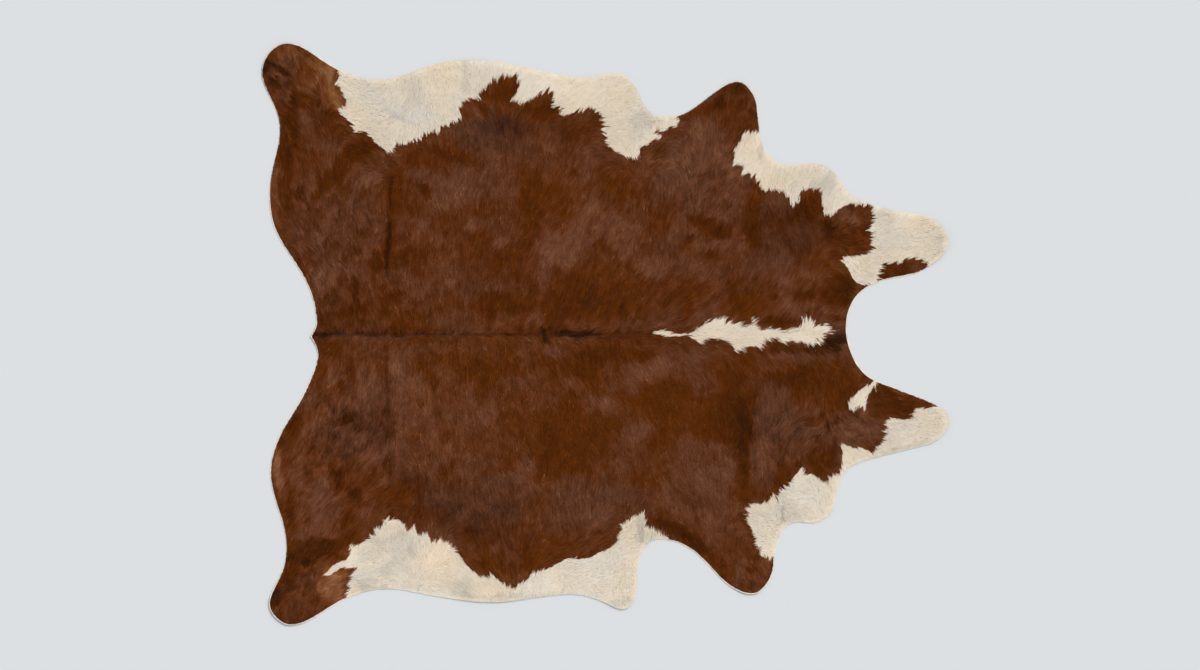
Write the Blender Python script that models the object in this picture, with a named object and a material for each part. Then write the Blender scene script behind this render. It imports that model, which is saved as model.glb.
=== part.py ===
"""Cowhide rug: one whole tanned hide with its hair on, lying flat, hair side up.

Metres, +Z up.  The backbone runs along X, with the tail end at -X and the
neck at +X; +Y is the animal's left side.  The origin is the middle of the
hide's own box, on the floor.  The solid is the leather and the flattened hair
coat together: flat underneath, except where a leg, a throat lobe or a belly
edge curls off the floor, and slightly uneven on top.
"""
import bpy
import bmesh
import math
from mathutils import Vector
from mathutils.geometry import delaunay_2d_cdt

# ---------------------------------------------------------------- dimensions
HIDE_LENGTH = 2.300       # rump and hind legs to the tips of the throat lobes
LEATHER = 0.0022          # tanned skin
COAT = 0.0044             # hair lying flat on the skin
RIM_HEIGHT = 0.0036       # leather plus thinned hair where the hide is cut
RIM_BAND = 0.015          # width over which the coat thins towards the cut
RIM_STEP = 0.025          # length of one facet along the cut edge
TOP_STEP = 0.046          # facet size on the hair side
UNDER_STEP = 0.110        # facet size on the flesh side
FOLD_STEP = 0.040         # facet length along a fold
SWELL = 0.0004            # gentle unevenness of the coat
SWELL_SPAN = 0.31         # distance between two such swells

# The cut edge, as the landmarks a tanner would name, from the tail round each
# side to the nape.  x runs along the backbone and y away from it, in
# millimetres on the pattern; heading is the way the edge runs there, degrees
# from +X.  Between two landmarks the edge is one smooth bend.
EDGE_COLUMNS = ("landmark", "x", "y", "heading")
LEFT_EDGE = (
    ("tail_tip", -987, -6, 52),
    ("tail_root", -967, 45, 94),
    ("rump", -1005, 183, 118),
    ("thigh_back", -1106, 353, 112),
    ("thigh_waist", -1125, 477, 89),
    ("hock_in", -1089, 685, 89),
    ("leg_back", -1126, 802, 116),
    ("leg_tip_back", -1150, 879, 90),
    ("leg_tip", -1075, 976, 10),
    ("leg_front", -938, 915, -34),
    ("flank", -767, 854, -3),
    ("belly_rise", -606, 893, 19),
    ("belly", -452, 920, 1),
    ("belly_dip", -251, 891, -13),
    ("belly_end", -70, 861, -2),
    ("elbow", 30, 876, 3),
    ("elbow_drop", 107, 819, -61),
    ("notch_in", 151, 742, -45),
    ("notch", 218, 730, -1),
    ("foreleg_back", 338, 789, 37),
    ("foreleg_tip", 440, 849, 6),
    ("foreleg_front", 511, 764, -84),
    ("armpit_side", 521, 655, -80),
    ("armpit", 586, 573, -18),
    ("shoulder", 704, 572, -1),
    ("shoulder_drop", 783, 523, -53),
    ("throat_base", 827, 466, -31),
    ("throat", 972, 414, -15),
    ("throat_corner", 1072, 399, -10),
    ("throat_tip", 1149, 313, -86),
    ("throat_under", 1069, 219, -147),
    ("throat_back", 945, 185, -168),
    ("nape_in", 844, 127, -131),
    ("nape", 810, 22, -91),
)
RIGHT_EDGE = (
    ("tail_tip", -987, -6, -55),
    ("tail_root", -963, -65, -86),
    ("rump", -992, -162, -112),
    ("thigh_back", -1077, -313, -118),
    ("thigh_waist", -1122, -467, -88),
    ("hock_in", -1067, -715, -90),
    ("leg_back", -1097, -826, -116),
    ("leg_tip_back", -1125, -903, -88),
    ("leg_tip", -1052, -974, 0),
    ("leg_front", -938, -926, 33),
    ("flank", -854, -878, 23),
    ("flank_in", -754, -853, 3),
    ("belly_drop", -606, -869, -10),
    ("belly", -385, -896, -1),
    ("belly_end", -111, -870, 0),
    ("elbow", 7, -901, -25),
    ("elbow_tip", 65, -919, 8),
    ("elbow_front", 102, -873, 80),
    ("notch_side", 112, -765, 82),
    ("notch", 184, -686, 0),
    ("foreleg_back", 318, -744, -44),
    ("foreleg_low", 431, -851, -31),
    ("foreleg_tip", 493, -869, 3),
    ("foreleg_front", 565, -780, 84),
    ("armpit", 616, -635, 33),
    ("shoulder", 691, -631, 2),
    ("shoulder_rise", 760, -591, 65),
    ("throat_base", 791, -476, 62),
    ("throat", 909, -411, 15),
    ("throat_out", 1079, -369, 18),
    ("throat_tip", 1152, -290, 93),
    ("throat_front", 1095, -229, 156),
    ("throat_in", 972, -181, 159),
    ("nape_in", 861, -119, 131),
    ("nape", 810, 22, 91),
)

# Folds that stay in the hide, each a soft trough pressed into the coat along
# a slightly wandering line: its two ends, half its width and its depth, in
# millimetres, and how far the line strays from straight.
FOLD_COLUMNS = ("fold", "x0", "y0", "x1", "y1", "half_width", "depth", "stray")
FOLDS = (
    ("backbone_rump", -950, -5, -240, 0, 15, 1.3, 3),
    ("backbone_loin", -240, 0, 180, 6, 12, 1.8, 4),
    ("backbone_neck", 180, 6, 790, -8, 13, 0.9, 5),
    ("press_left", -735, 610, -762, 205, 17, 1.5, 4),
    ("press_middle", -762, 205, -765, -40, 15, 0.8, 4),
    ("press_right", -765, -40, -716, -620, 16, 1.3, 6),
    ("flank_tuck", -747, -700, -744, -838, 13, 1.0, 2),
    ("elbow_tuck_left", 112, 790, 140, 690, 12, 1.2, 4),
    ("armpit_tuck_left", 505, 575, 560, 625, 14, 1.2, 2),
    ("armpit_tuck_right", 585, -540, 604, -622, 13, 1.8, 4),
    ("belly_tuck", -470, 905, -448, 800, 11, 0.8, 3),
    ("haunch_left", -1010, 440, -960, 640, 22, 0.7, 10),
    ("haunch_right", -1020, -330, -940, -560, 22, 0.7, 10),
)

# Places where the hide curls a little off the floor: where, how far in the
# curl begins, and how high its outermost point stands, in millimetres.
CURL_COLUMNS = ("curl", "x", "y", "reach", "height")
CURLS = (
    ("hind_leg_left", -1120, 950, 190, 5.5),
    ("hind_leg_right", -1100, -950, 180, 6.5),
    ("tail", -990, -6, 75, 4.0),
    ("belly_left", -450, 925, 150, 3.0),
    ("elbow_right", 62, -922, 120, 4.0),
    ("belly_right", -400, -900, 170, 3.5),
    ("foreleg_left", 450, 855, 140, 4.5),
    ("foreleg_right", 505, -872, 150, 5.5),
    ("throat_left", 1150, 310, 160, 6.5),
    ("throat_right", 1152, -295, 150, 5.0),
)


# ------------------------------------------------------------------ outline
def edge_points(table, step):
    """Evenly spaced points along one side, through its landmarks."""
    fine = []
    for (_, x0, y0, h0), (_, x1, y1, h1) in zip(table, table[1:]):
        a, b = Vector((x0, y0)), Vector((x1, y1))
        reach = (b - a).length
        ta = Vector((math.cos(math.radians(h0)), math.sin(math.radians(h0)))) * reach
        tb = Vector((math.cos(math.radians(h1)), math.sin(math.radians(h1)))) * reach
        for i in range(40):
            t = i / 40
            fine.append((2 * t**3 - 3 * t**2 + 1) * a + (t**3 - 2 * t**2 + t) * ta
                        + (3 * t**2 - 2 * t**3) * b + (t**3 - t**2) * tb)
    fine.append(Vector(table[-1][1:3]))
    run = [0.0]
    for p, q in zip(fine, fine[1:]):
        run.append(run[-1] + (q - p).length)
    count = max(2, round(run[-1] / (step * 1000)))
    points, k = [], 0
    for i in range(count + 1):
        want = run[-1] * i / count
        while k < len(run) - 2 and run[k + 1] < want:
            k += 1
        f = (want - run[k]) / (run[k + 1] - run[k])
        points.append(fine[k].lerp(fine[k + 1], min(1.0, max(0.0, f))))
    return points


def hide_outline(step):
    """The whole cut edge as one closed ring, clockwise from the tail, with
    the pattern scaled to the hide's length and centred on its own box.  The
    scale and the centre come with it."""
    left = edge_points(LEFT_EDGE, step)
    right = edge_points(RIGHT_EDGE, step)
    ring = left + right[-2:0:-1]
    xs, ys = [p.x for p in ring], [p.y for p in ring]
    scale = HIDE_LENGTH / (max(xs) - min(xs))
    middle = Vector(((max(xs) + min(xs)) / 2, (max(ys) + min(ys)) / 2))
    return [(p - middle) * scale for p in ring], scale, middle


RING, SCALE, MIDDLE = hide_outline(RIM_STEP)


def on_hide(x, y):
    """A place on the pattern, in millimetres, as a place on the hide."""
    return (Vector((x, y)) - MIDDLE) * SCALE


def inside(p, ring):
    hit = False
    for a, b in zip(ring, ring[1:] + ring[:1]):
        if (a.y > p.y) != (b.y > p.y):
            if p.x < a.x + (p.y - a.y) / (b.y - a.y) * (b.x - a.x):
                hit = not hit
    return hit


def from_edge(p, ring):
    """Distance to the cut edge."""
    best = 1e9
    for a, b in zip(ring, ring[1:] + ring[:1]):
        ab = b - a
        t = max(0.0, min(1.0, (p - a).dot(ab) / ab.length_squared))
        best = min(best, (p - a - ab * t).length_squared)
    return math.sqrt(best)


def inset(ring, width):
    """A second ring inside the first, left out where it would fold over."""
    rows = []
    n = len(ring)
    for i, p in enumerate(ring):
        along = (ring[(i + 1) % n] - ring[i - 1]).normalized()
        q = p + Vector((along.y, -along.x)) * width
        if inside(q, ring) and from_edge(q, ring) > width * 0.9:
            rows.append(q)
    return rows


# ------------------------------------------------------------------- relief
def soft(t):
    """One at 0, nothing at 1 and beyond, with a level start and end."""
    return 0.0 if t >= 1 else 0.5 + 0.5 * math.cos(math.pi * t)


def fold_point(fold, t):
    """A point along a fold's wandering line, and the line's direction."""
    _, x0, y0, x1, y1, _, _, stray = fold
    a, b = on_hide(x0, y0), on_hide(x1, y1)
    along = (b - a).normalized()
    side = Vector((-along.y, along.x))
    sway = math.sin(2.2 * math.pi * t) * math.sin(math.pi * t)
    return a.lerp(b, t) + side * (stray / 1000 * sway), side


def press(p):
    """How deep the folds press into the coat at a place."""
    deep = 0.0
    for fold in FOLDS:
        a, b = on_hide(fold[1], fold[2]), on_hide(fold[3], fold[4])
        ab = b - a
        t = max(0.0, min(1.0, (p - a).dot(ab) / ab.length_squared))
        off = (p - fold_point(fold, t)[0]).length
        deep = max(deep, fold[6] / 1000 * soft(off / (fold[5] / 1000)))
    return deep


def curl(p):
    """How far the hide stands off the floor at a place."""
    high = 0.0
    for _, x, y, reach, height in CURLS:
        off = (p - on_hide(x, y)).length / (reach / 1000)
        high = max(high, height / 1000 * soft(off))
    return high


def swell(p):
    w = 2 * math.pi / SWELL_SPAN
    return SWELL * (math.sin(w * p.x + 0.7 * math.sin(w * 0.6 * p.y))
                    * math.cos(w * 0.8 * p.y + 1.1 * math.sin(w * 0.5 * p.x)))


def coat_top(p, edge):
    """Height of the hair side; edge is the distance to the cut."""
    full = LEATHER + COAT + swell(p) - press(p)
    return curl(p) + RIM_HEIGHT + (full - RIM_HEIGHT) * (1 - soft(edge / RIM_BAND))


# -------------------------------------------------------------------- build
def sheet_points(step, ring, band, with_folds):
    """Places inside the ring: a row just inside the cut, rows beside every
    fold, and a field of staggered points between them."""
    rows = inset(ring, band)
    if with_folds:
        for fold in FOLDS:
            a, b = on_hide(fold[1], fold[2]), on_hide(fold[3], fold[4])
            count = max(2, round((b - a).length / FOLD_STEP))
            for i in range(count + 1):
                q, side = fold_point(fold, i / count)
                for k in (-1, 0, 1):
                    s = q + side * (k * fold[5] / 1000)
                    if from_edge(s, ring) > band * 1.5 and all(
                            (s - r).length > 0.009 for r in rows):
                        rows.append(s)
    laid = list(rows)
    field = []
    j = 0
    y = -1.2
    while y < 1.2:
        x = -1.3 + (step / 2 if j % 2 else 0)
        while x < 1.3:
            q = Vector((x, y))
            if inside(q, ring) and from_edge(q, ring) > band + step * 0.45 and all(
                    (q - r).length > step * 0.5 for r in laid):
                field.append(q)
            x += step
        y += step * math.sqrt(3) / 2
        j += 1
    return rows + field


def sheet_faces(bm, ring, places, height):
    """One triangulated skin over the ring and the places inside it."""
    n = len(ring)
    coords = list(ring) + places
    rim = [(i, (i + 1) % n) for i in range(n)]
    verts2, _, faces, _, _, _ = delaunay_2d_cdt(coords, rim, [], 1, 1e-7)
    verts = [bm.verts.new((v.x, v.y, height(v, i < n))) for i, v in enumerate(verts2)]
    for f in faces:
        bm.faces.new([verts[i] for i in f])
    return verts[:n]


def make_hide():
    bm = bmesh.new()
    top = sheet_points(TOP_STEP, RING, RIM_BAND, True)
    under = sheet_points(UNDER_STEP, RING, RIM_BAND * 2, False)
    rim_top = sheet_faces(
        bm, RING, top,
        lambda p, on_rim: coat_top(p, 0.0 if on_rim else from_edge(p, RING)))
    rim_under = sheet_faces(bm, RING, under, lambda p, on_rim: curl(p))
    n = len(RING)
    for i in range(n):
        j = (i + 1) % n
        bm.faces.new((rim_top[i], rim_top[j], rim_under[j], rim_under[i]))
    bmesh.ops.triangulate(bm, faces=[f for f in bm.faces if len(f.verts) > 3])
    bmesh.ops.recalc_face_normals(bm, faces=bm.faces)
    low = min(v.co.z for v in bm.verts)
    bmesh.ops.translate(bm, vec=(0, 0, -low), verts=bm.verts)
    mesh = bpy.data.meshes.new("cowhide")
    bm.to_mesh(mesh)
    bm.free()
    return mesh


def hair_material():
    mat = bpy.data.materials.new("hair_on_hide")
    mat.use_nodes = True
    shader = mat.node_tree.nodes["Principled BSDF"]
    shader.inputs["Base Color"].default_value = (0.110, 0.036, 0.011, 1.0)
    shader.inputs["Roughness"].default_value = 0.55
    shader.inputs["Metallic"].default_value = 0.0
    mat.diffuse_color = (0.110, 0.036, 0.011, 1.0)
    return mat


def main():
    for old in list(bpy.data.objects):
        bpy.data.objects.remove(old, do_unlink=True)
    hide = bpy.data.objects.new("cowhide", make_hide())
    bpy.context.scene.collection.objects.link(hide)
    hide.data.materials.append(hair_material())
    hide.data.shade_smooth()
    hide.data.set_sharp_from_angle(angle=math.radians(50))


main()
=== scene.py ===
"""Looks of the cowhide rug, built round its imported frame.

The hide is a thin closed leather sheet with a short under-hair colour on its
hair side, a napped flesh side and a pale cut edge.  The coat that lies on it
is real geometry: some four hundred thousand combed hair locks in five layers,
each lock a tapered, ridged tuft that follows a chart of the way the hair
grows.  Metres, +Z up, in the row's own frame.
"""

import math

import bpy
import numpy as np
from mathutils.geometry import delaunay_2d_cdt
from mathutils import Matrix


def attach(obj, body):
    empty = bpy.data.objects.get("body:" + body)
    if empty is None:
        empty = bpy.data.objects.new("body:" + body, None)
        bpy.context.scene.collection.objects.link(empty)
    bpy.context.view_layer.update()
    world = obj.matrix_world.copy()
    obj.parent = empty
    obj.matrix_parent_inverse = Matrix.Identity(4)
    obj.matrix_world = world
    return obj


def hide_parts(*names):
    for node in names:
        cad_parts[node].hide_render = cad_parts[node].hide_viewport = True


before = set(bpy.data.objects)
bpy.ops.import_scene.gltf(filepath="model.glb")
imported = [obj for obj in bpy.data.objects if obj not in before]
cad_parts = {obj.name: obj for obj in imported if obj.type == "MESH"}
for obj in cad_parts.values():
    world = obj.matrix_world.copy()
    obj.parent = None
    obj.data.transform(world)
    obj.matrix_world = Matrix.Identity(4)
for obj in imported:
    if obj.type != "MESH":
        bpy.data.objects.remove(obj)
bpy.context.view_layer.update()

# ------------------------------------------------------------------ sizes
HIDE_LENGTH = 2.300       # rump and hind legs to the tips of the throat lobes
LEATHER = 0.0022          # tanned skin
COAT = 0.0044             # hair lying flat on the skin
RIM_HEIGHT = 0.0036       # leather plus thinned hair where the hide is cut
RIM_BAND = 0.015          # width over which the coat thins towards the cut
SWELL = 0.0004            # gentle unevenness of the coat
SWELL_SPAN = 0.31         # distance between two such swells
PATTERN_STEP = 0.025      # step at which the pattern was scaled to its length
RIM_STEP = 0.005          # length of one facet along the cut edge
FIELD_STEP = 0.014        # facet size on the hair side of the leather
MARK_STEP = 0.009         # facet size beside a change of colour
UNDER_STEP = 0.022        # facet size on the flesh side
LOCKS = 398000            # hair locks on the whole hide
LAYERS = 5                # pieces that they are shared out to
OVERHANG = 0.003          # furthest that hair reaches past the cut

# The cut edge, as the landmarks a tanner would name, from the tail round each
# side to the nape.  x runs along the backbone and y away from it, in
# millimetres on the pattern; heading is the way the edge runs there, degrees
# from +X.  Between two landmarks the edge is one smooth bend.
EDGE_COLUMNS = ("landmark", "x", "y", "heading")
LEFT_EDGE = (
    ("tail_tip", -987, -6, 52),
    ("tail_root", -967, 45, 94),
    ("rump", -1005, 183, 118),
    ("thigh_back", -1106, 353, 112),
    ("thigh_waist", -1125, 477, 89),
    ("hock_in", -1089, 685, 89),
    ("leg_back", -1126, 802, 116),
    ("leg_tip_back", -1150, 879, 90),
    ("leg_tip", -1075, 976, 10),
    ("leg_front", -938, 915, -34),
    ("flank", -767, 854, -3),
    ("belly_rise", -606, 893, 19),
    ("belly", -452, 920, 1),
    ("belly_dip", -251, 891, -13),
    ("belly_end", -70, 861, -2),
    ("elbow", 30, 876, 3),
    ("elbow_drop", 107, 819, -61),
    ("notch_in", 151, 742, -45),
    ("notch", 218, 730, -1),
    ("foreleg_back", 338, 789, 37),
    ("foreleg_tip", 440, 849, 6),
    ("foreleg_front", 511, 764, -84),
    ("armpit_side", 521, 655, -80),
    ("armpit", 586, 573, -18),
    ("shoulder", 704, 572, -1),
    ("shoulder_drop", 783, 523, -53),
    ("throat_base", 827, 466, -31),
    ("throat", 972, 414, -15),
    ("throat_corner", 1072, 399, -10),
    ("throat_tip", 1149, 313, -86),
    ("throat_under", 1069, 219, -147),
    ("throat_back", 945, 185, -168),
    ("nape_in", 844, 127, -131),
    ("nape", 810, 22, -91),
)
RIGHT_EDGE = (
    ("tail_tip", -987, -6, -55),
    ("tail_root", -963, -65, -86),
    ("rump", -992, -162, -112),
    ("thigh_back", -1077, -313, -118),
    ("thigh_waist", -1122, -467, -88),
    ("hock_in", -1067, -715, -90),
    ("leg_back", -1097, -826, -116),
    ("leg_tip_back", -1125, -903, -88),
    ("leg_tip", -1052, -974, 0),
    ("leg_front", -938, -926, 33),
    ("flank", -854, -878, 23),
    ("flank_in", -754, -853, 3),
    ("belly_drop", -606, -869, -10),
    ("belly", -385, -896, -1),
    ("belly_end", -111, -870, 0),
    ("elbow", 7, -901, -25),
    ("elbow_tip", 65, -919, 8),
    ("elbow_front", 102, -873, 80),
    ("notch_side", 112, -765, 82),
    ("notch", 184, -686, 0),
    ("foreleg_back", 318, -744, -44),
    ("foreleg_low", 431, -851, -31),
    ("foreleg_tip", 493, -869, 3),
    ("foreleg_front", 565, -780, 84),
    ("armpit", 616, -635, 33),
    ("shoulder", 691, -631, 2),
    ("shoulder_rise", 760, -591, 65),
    ("throat_base", 791, -476, 62),
    ("throat", 909, -411, 15),
    ("throat_out", 1079, -369, 18),
    ("throat_tip", 1152, -290, 93),
    ("throat_front", 1095, -229, 156),
    ("throat_in", 972, -181, 159),
    ("nape_in", 861, -119, 131),
    ("nape", 810, 22, 91),
)

# Folds that stay in the hide, each a soft trough pressed into the coat along
# a slightly wandering line: its two ends, half its width and its depth, in
# millimetres, and how far the line strays from straight.
FOLD_COLUMNS = ("fold", "x0", "y0", "x1", "y1", "half_width", "depth", "stray")
FOLDS = (
    ("backbone_rump", -950, -5, -240, 0, 15, 1.3, 3),
    ("backbone_loin", -240, 0, 180, 6, 12, 1.8, 4),
    ("backbone_neck", 180, 6, 790, -8, 13, 0.9, 5),
    ("press_left", -735, 610, -762, 205, 17, 1.5, 4),
    ("press_middle", -762, 205, -765, -40, 15, 0.8, 4),
    ("press_right", -765, -40, -716, -620, 16, 1.3, 6),
    ("flank_tuck", -747, -700, -744, -838, 13, 1.0, 2),
    ("elbow_tuck_left", 112, 790, 140, 690, 12, 1.2, 4),
    ("armpit_tuck_left", 505, 575, 560, 625, 14, 1.2, 2),
    ("armpit_tuck_right", 585, -540, 604, -622, 13, 1.8, 4),
    ("belly_tuck", -470, 905, -448, 800, 11, 0.8, 3),
    ("haunch_left", -1010, 440, -960, 640, 22, 0.7, 10),
    ("haunch_right", -1020, -330, -940, -560, 22, 0.7, 10),
)

# Places where the hide curls a little off the floor: where, how far in the
# curl begins, and how high its outermost point stands, in millimetres.
CURL_COLUMNS = ("curl", "x", "y", "reach", "height")
CURLS = (
    ("hind_leg_left", -1120, 950, 190, 5.5),
    ("hind_leg_right", -1100, -950, 180, 6.5),
    ("tail", -990, -6, 75, 4.0),
    ("belly_left", -450, 925, 150, 3.0),
    ("elbow_right", 62, -922, 120, 4.0),
    ("belly_right", -400, -900, 170, 3.5),
    ("foreleg_left", 450, 855, 140, 4.5),
    ("foreleg_right", 505, -872, 150, 5.5),
    ("throat_left", 1150, 310, 160, 6.5),
    ("throat_right", 1152, -295, 150, 5.0),
)

# Where white hair meets brown, charted round each patch on the
# pattern, (x, y) in millimetres.  Patches that reach the cut run past it.
MARKINGS = {
    "belly_left": (
        (-891, 920), (-891, 881), (-888, 863), (-893, 851), (-903, 846), (-898, 834),
        (-884, 819), (-876, 806), (-871, 792), (-868, 776), (-869, 764), (-881, 755),
        (-898, 762), (-891, 749), (-881, 734), (-864, 719), (-843, 704), (-843, 692),
        (-832, 675), (-821, 678), (-807, 681), (-794, 672), (-784, 660), (-769, 645),
        (-747, 626), (-734, 613), (-720, 608), (-714, 610), (-710, 620), (-702, 631),
        (-692, 641), (-673, 638), (-657, 638), (-650, 647), (-640, 653), (-633, 648),
        (-623, 658), (-606, 668), (-586, 675), (-573, 679), (-563, 670), (-556, 683),
        (-548, 697), (-533, 700), (-523, 697), (-513, 709), (-499, 714), (-487, 725),
        (-482, 735), (-487, 752), (-481, 769), (-472, 779), (-461, 784), (-449, 791),
        (-432, 794), (-414, 784), (-424, 799), (-415, 812), (-400, 827), (-385, 846),
        (-368, 859), (-353, 866), (-335, 870), (-318, 864), (-302, 873), (-293, 863),
        (-295, 853), (-286, 832), (-296, 816), (-305, 796), (-320, 783), (-298, 779),
        (-280, 774), (-258, 779), (-245, 791), (-231, 802), (-218, 811), (-209, 807),
        (-193, 824), (-181, 812), (-171, 792), (-176, 776), (-180, 759), (-159, 764),
        (-144, 767), (-139, 757), (-147, 747), (-152, 739), (-127, 735), (-107, 744),
        (-87, 753), (-64, 758), (-44, 755), (-27, 747), (-10, 737), (-13, 729), (-8, 715),
        (0, 698), (-7, 692), (-2, 678), (5, 663), (-2, 652), (3, 642), (20, 626), (40, 611),
        (60, 600), (70, 596), (85, 589), (90, 596), (106, 588), (111, 601), (116, 613),
        (119, 623), (116, 630), (134, 631), (144, 636), (157, 647), (169, 657), (178, 648),
        (188, 663), (174, 668), (161, 672), (171, 682), (184, 682), (194, 680), (208, 687),
        (218, 695), (226, 702), (234, 693), (245, 707), (253, 720), (238, 717), (243, 730),
        (241, 786), (117, 987), (-419, 1020),
    ),
    "neck_left": (
        (515, 680), (499, 677), (487, 675), (484, 685), (466, 678), (459, 665), (452, 645),
        (441, 628), (432, 621), (432, 598), (432, 575), (429, 563), (442, 568), (452, 570),
        (467, 563), (462, 551), (456, 534), (472, 539), (486, 538), (492, 531), (502, 536),
        (509, 524), (511, 511), (516, 497), (526, 487), (539, 481), (559, 484), (580, 482),
        (593, 486), (603, 474), (615, 459), (623, 442), (630, 424), (636, 439), (653, 444),
        (650, 464), (658, 481), (673, 487), (693, 487), (710, 486), (724, 477), (727, 454),
        (730, 430), (735, 407), (739, 394), (747, 402), (760, 397), (774, 410), (791, 424),
        (807, 434), (827, 439), (848, 437), (871, 436), (888, 434), (896, 417), (901, 394),
        (899, 377), (888, 360), (878, 348), (891, 342), (898, 320), (899, 293), (891, 276),
        (878, 268), (858, 268), (838, 260), (821, 258), (804, 263), (792, 260), (804, 237),
        (820, 211), (829, 189), (849, 169), (871, 162), (904, 169), (921, 116), (1206, 149),
        (1240, 451), (821, 518), (653, 618), (546, 698),
    ),
    "backbone_stripe": (
        (164, 10), (188, 15), (221, 10), (228, 2), (261, 3), (278, 4), (295, 9), (317, 24),
        (328, 32), (345, 49), (355, 44), (366, 55), (379, 50), (394, 57), (399, 47), (409, 43),
        (422, 45), (436, 35), (456, 32), (476, 29), (491, 27), (496, 45), (501, 60), (506, 45),
        (511, 27), (523, 15), (536, 15), (553, 22), (570, 20), (586, 17), (603, 15), (620, 18),
        (630, 23), (643, 20), (653, 22), (663, 30), (660, 52), (665, 64), (670, 52), (675, 62),
        (682, 54), (687, 65), (693, 47), (700, 39), (714, 34), (720, 40), (724, 27), (734, 35),
        (740, 37), (744, 28), (755, 30), (750, 22), (760, 20), (752, 12), (759, 5), (744, 3),
        (735, -5), (724, -27), (715, -18), (717, -32), (707, -22), (702, -35), (693, -40),
        (680, -30), (660, -27), (647, -28), (633, -22), (616, -18), (605, -32), (596, -25),
        (586, -17), (570, -13), (553, -12), (539, -15), (530, -32), (516, -49), (509, -39),
        (499, -35), (486, -42), (472, -43), (456, -52), (442, -61), (428, -40), (411, -23),
        (383, -15), (350, -12), (328, -20), (317, -28), (300, -15), (295, -2), (261, -4),
        (228, -6), (200, -8), (178, 2),
    ),
    "belly_right": (
        (-873, -886), (-864, -869), (-858, -849), (-849, -822), (-849, -812), (-844, -796),
        (-838, -781), (-854, -781), (-878, -779), (-901, -792), (-921, -807), (-933, -806),
        (-935, -799), (-921, -782), (-901, -769), (-881, -757), (-868, -755), (-858, -742),
        (-851, -725), (-858, -712), (-848, -707), (-831, -704), (-814, -697), (-801, -688),
        (-784, -682), (-777, -672), (-767, -655), (-754, -645), (-744, -631), (-734, -618),
        (-729, -611), (-717, -616), (-704, -620), (-690, -620), (-680, -631), (-667, -645),
        (-657, -655), (-647, -642), (-640, -640), (-633, -662), (-620, -670), (-606, -668),
        (-600, -668), (-583, -685), (-573, -695), (-553, -687), (-539, -693), (-523, -702),
        (-506, -715), (-489, -735), (-476, -752), (-458, -778), (-442, -792), (-423, -808),
        (-389, -816), (-385, -796), (-364, -816), (-348, -829), (-330, -838), (-315, -848),
        (-304, -851), (-288, -838), (-270, -829), (-251, -809), (-236, -796), (-214, -789),
        (-193, -787), (-174, -776), (-151, -764), (-131, -752), (-107, -749), (-84, -752),
        (-64, -750), (-44, -745), (-30, -737), (-17, -729), (3, -724), (17, -715), (34, -707),
        (40, -695), (44, -678), (50, -662), (57, -645), (64, -628), (80, -621), (90, -611),
        (107, -603), (121, -595), (136, -601), (132, -613), (141, -618), (136, -633),
        (131, -645), (147, -653), (162, -647), (171, -655), (188, -665), (199, -673),
        (214, -683), (211, -755), (151, -990), (-352, -1023), (-871, -1023),
    ),
    "neck_right": (
        (565, -755), (544, -746), (521, -746), (515, -720), (502, -684), (492, -658),
        (482, -636), (471, -606), (484, -568), (502, -564), (521, -568), (544, -561),
        (563, -540), (576, -543), (590, -538), (592, -513), (603, -508), (616, -511),
        (623, -491), (634, -474), (647, -461), (658, -444), (663, -457), (670, -465),
        (687, -467), (706, -477), (724, -491), (742, -497), (754, -482), (772, -474),
        (784, -462), (793, -451), (797, -427), (796, -402), (793, -380), (791, -357),
        (801, -367), (812, -375), (821, -372), (838, -377), (854, -379), (874, -387),
        (898, -394), (911, -384), (921, -370), (931, -357), (938, -338), (945, -320),
        (943, -300), (941, -288), (948, -280), (968, -280), (988, -283), (1005, -286),
        (1028, -274), (1032, -260), (1035, -250), (1052, -246), (1071, -250), (1092, -243),
        (1112, -240), (1172, -203), (1273, -320), (1122, -487), (854, -554), (804, -688),
        (653, -755),
    ),
    "neck_fleck": (
        (918, -159), (908, -166), (904, -181), (888, -189), (878, -206), (874, -226),
        (874, -258), (864, -246), (853, -240), (844, -243), (831, -260), (819, -250),
        (814, -236), (822, -216), (838, -203), (854, -186), (868, -176), (884, -169),
        (898, -159), (910, -146), (935, -139),
    ),
}

# A brown spot inside the white of the left throat lobe.
SPOT = (
    (918, 176), (925, 203), (925, 224), (931, 236), (941, 242), (955, 236), (970, 243),
    (982, 236), (995, 241), (1005, 256), (1018, 263), (1028, 255), (1044, 260), (1055, 250),
    (1066, 254), (1079, 237), (1084, 229), (1109, 183), (988, 142),
)

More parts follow.
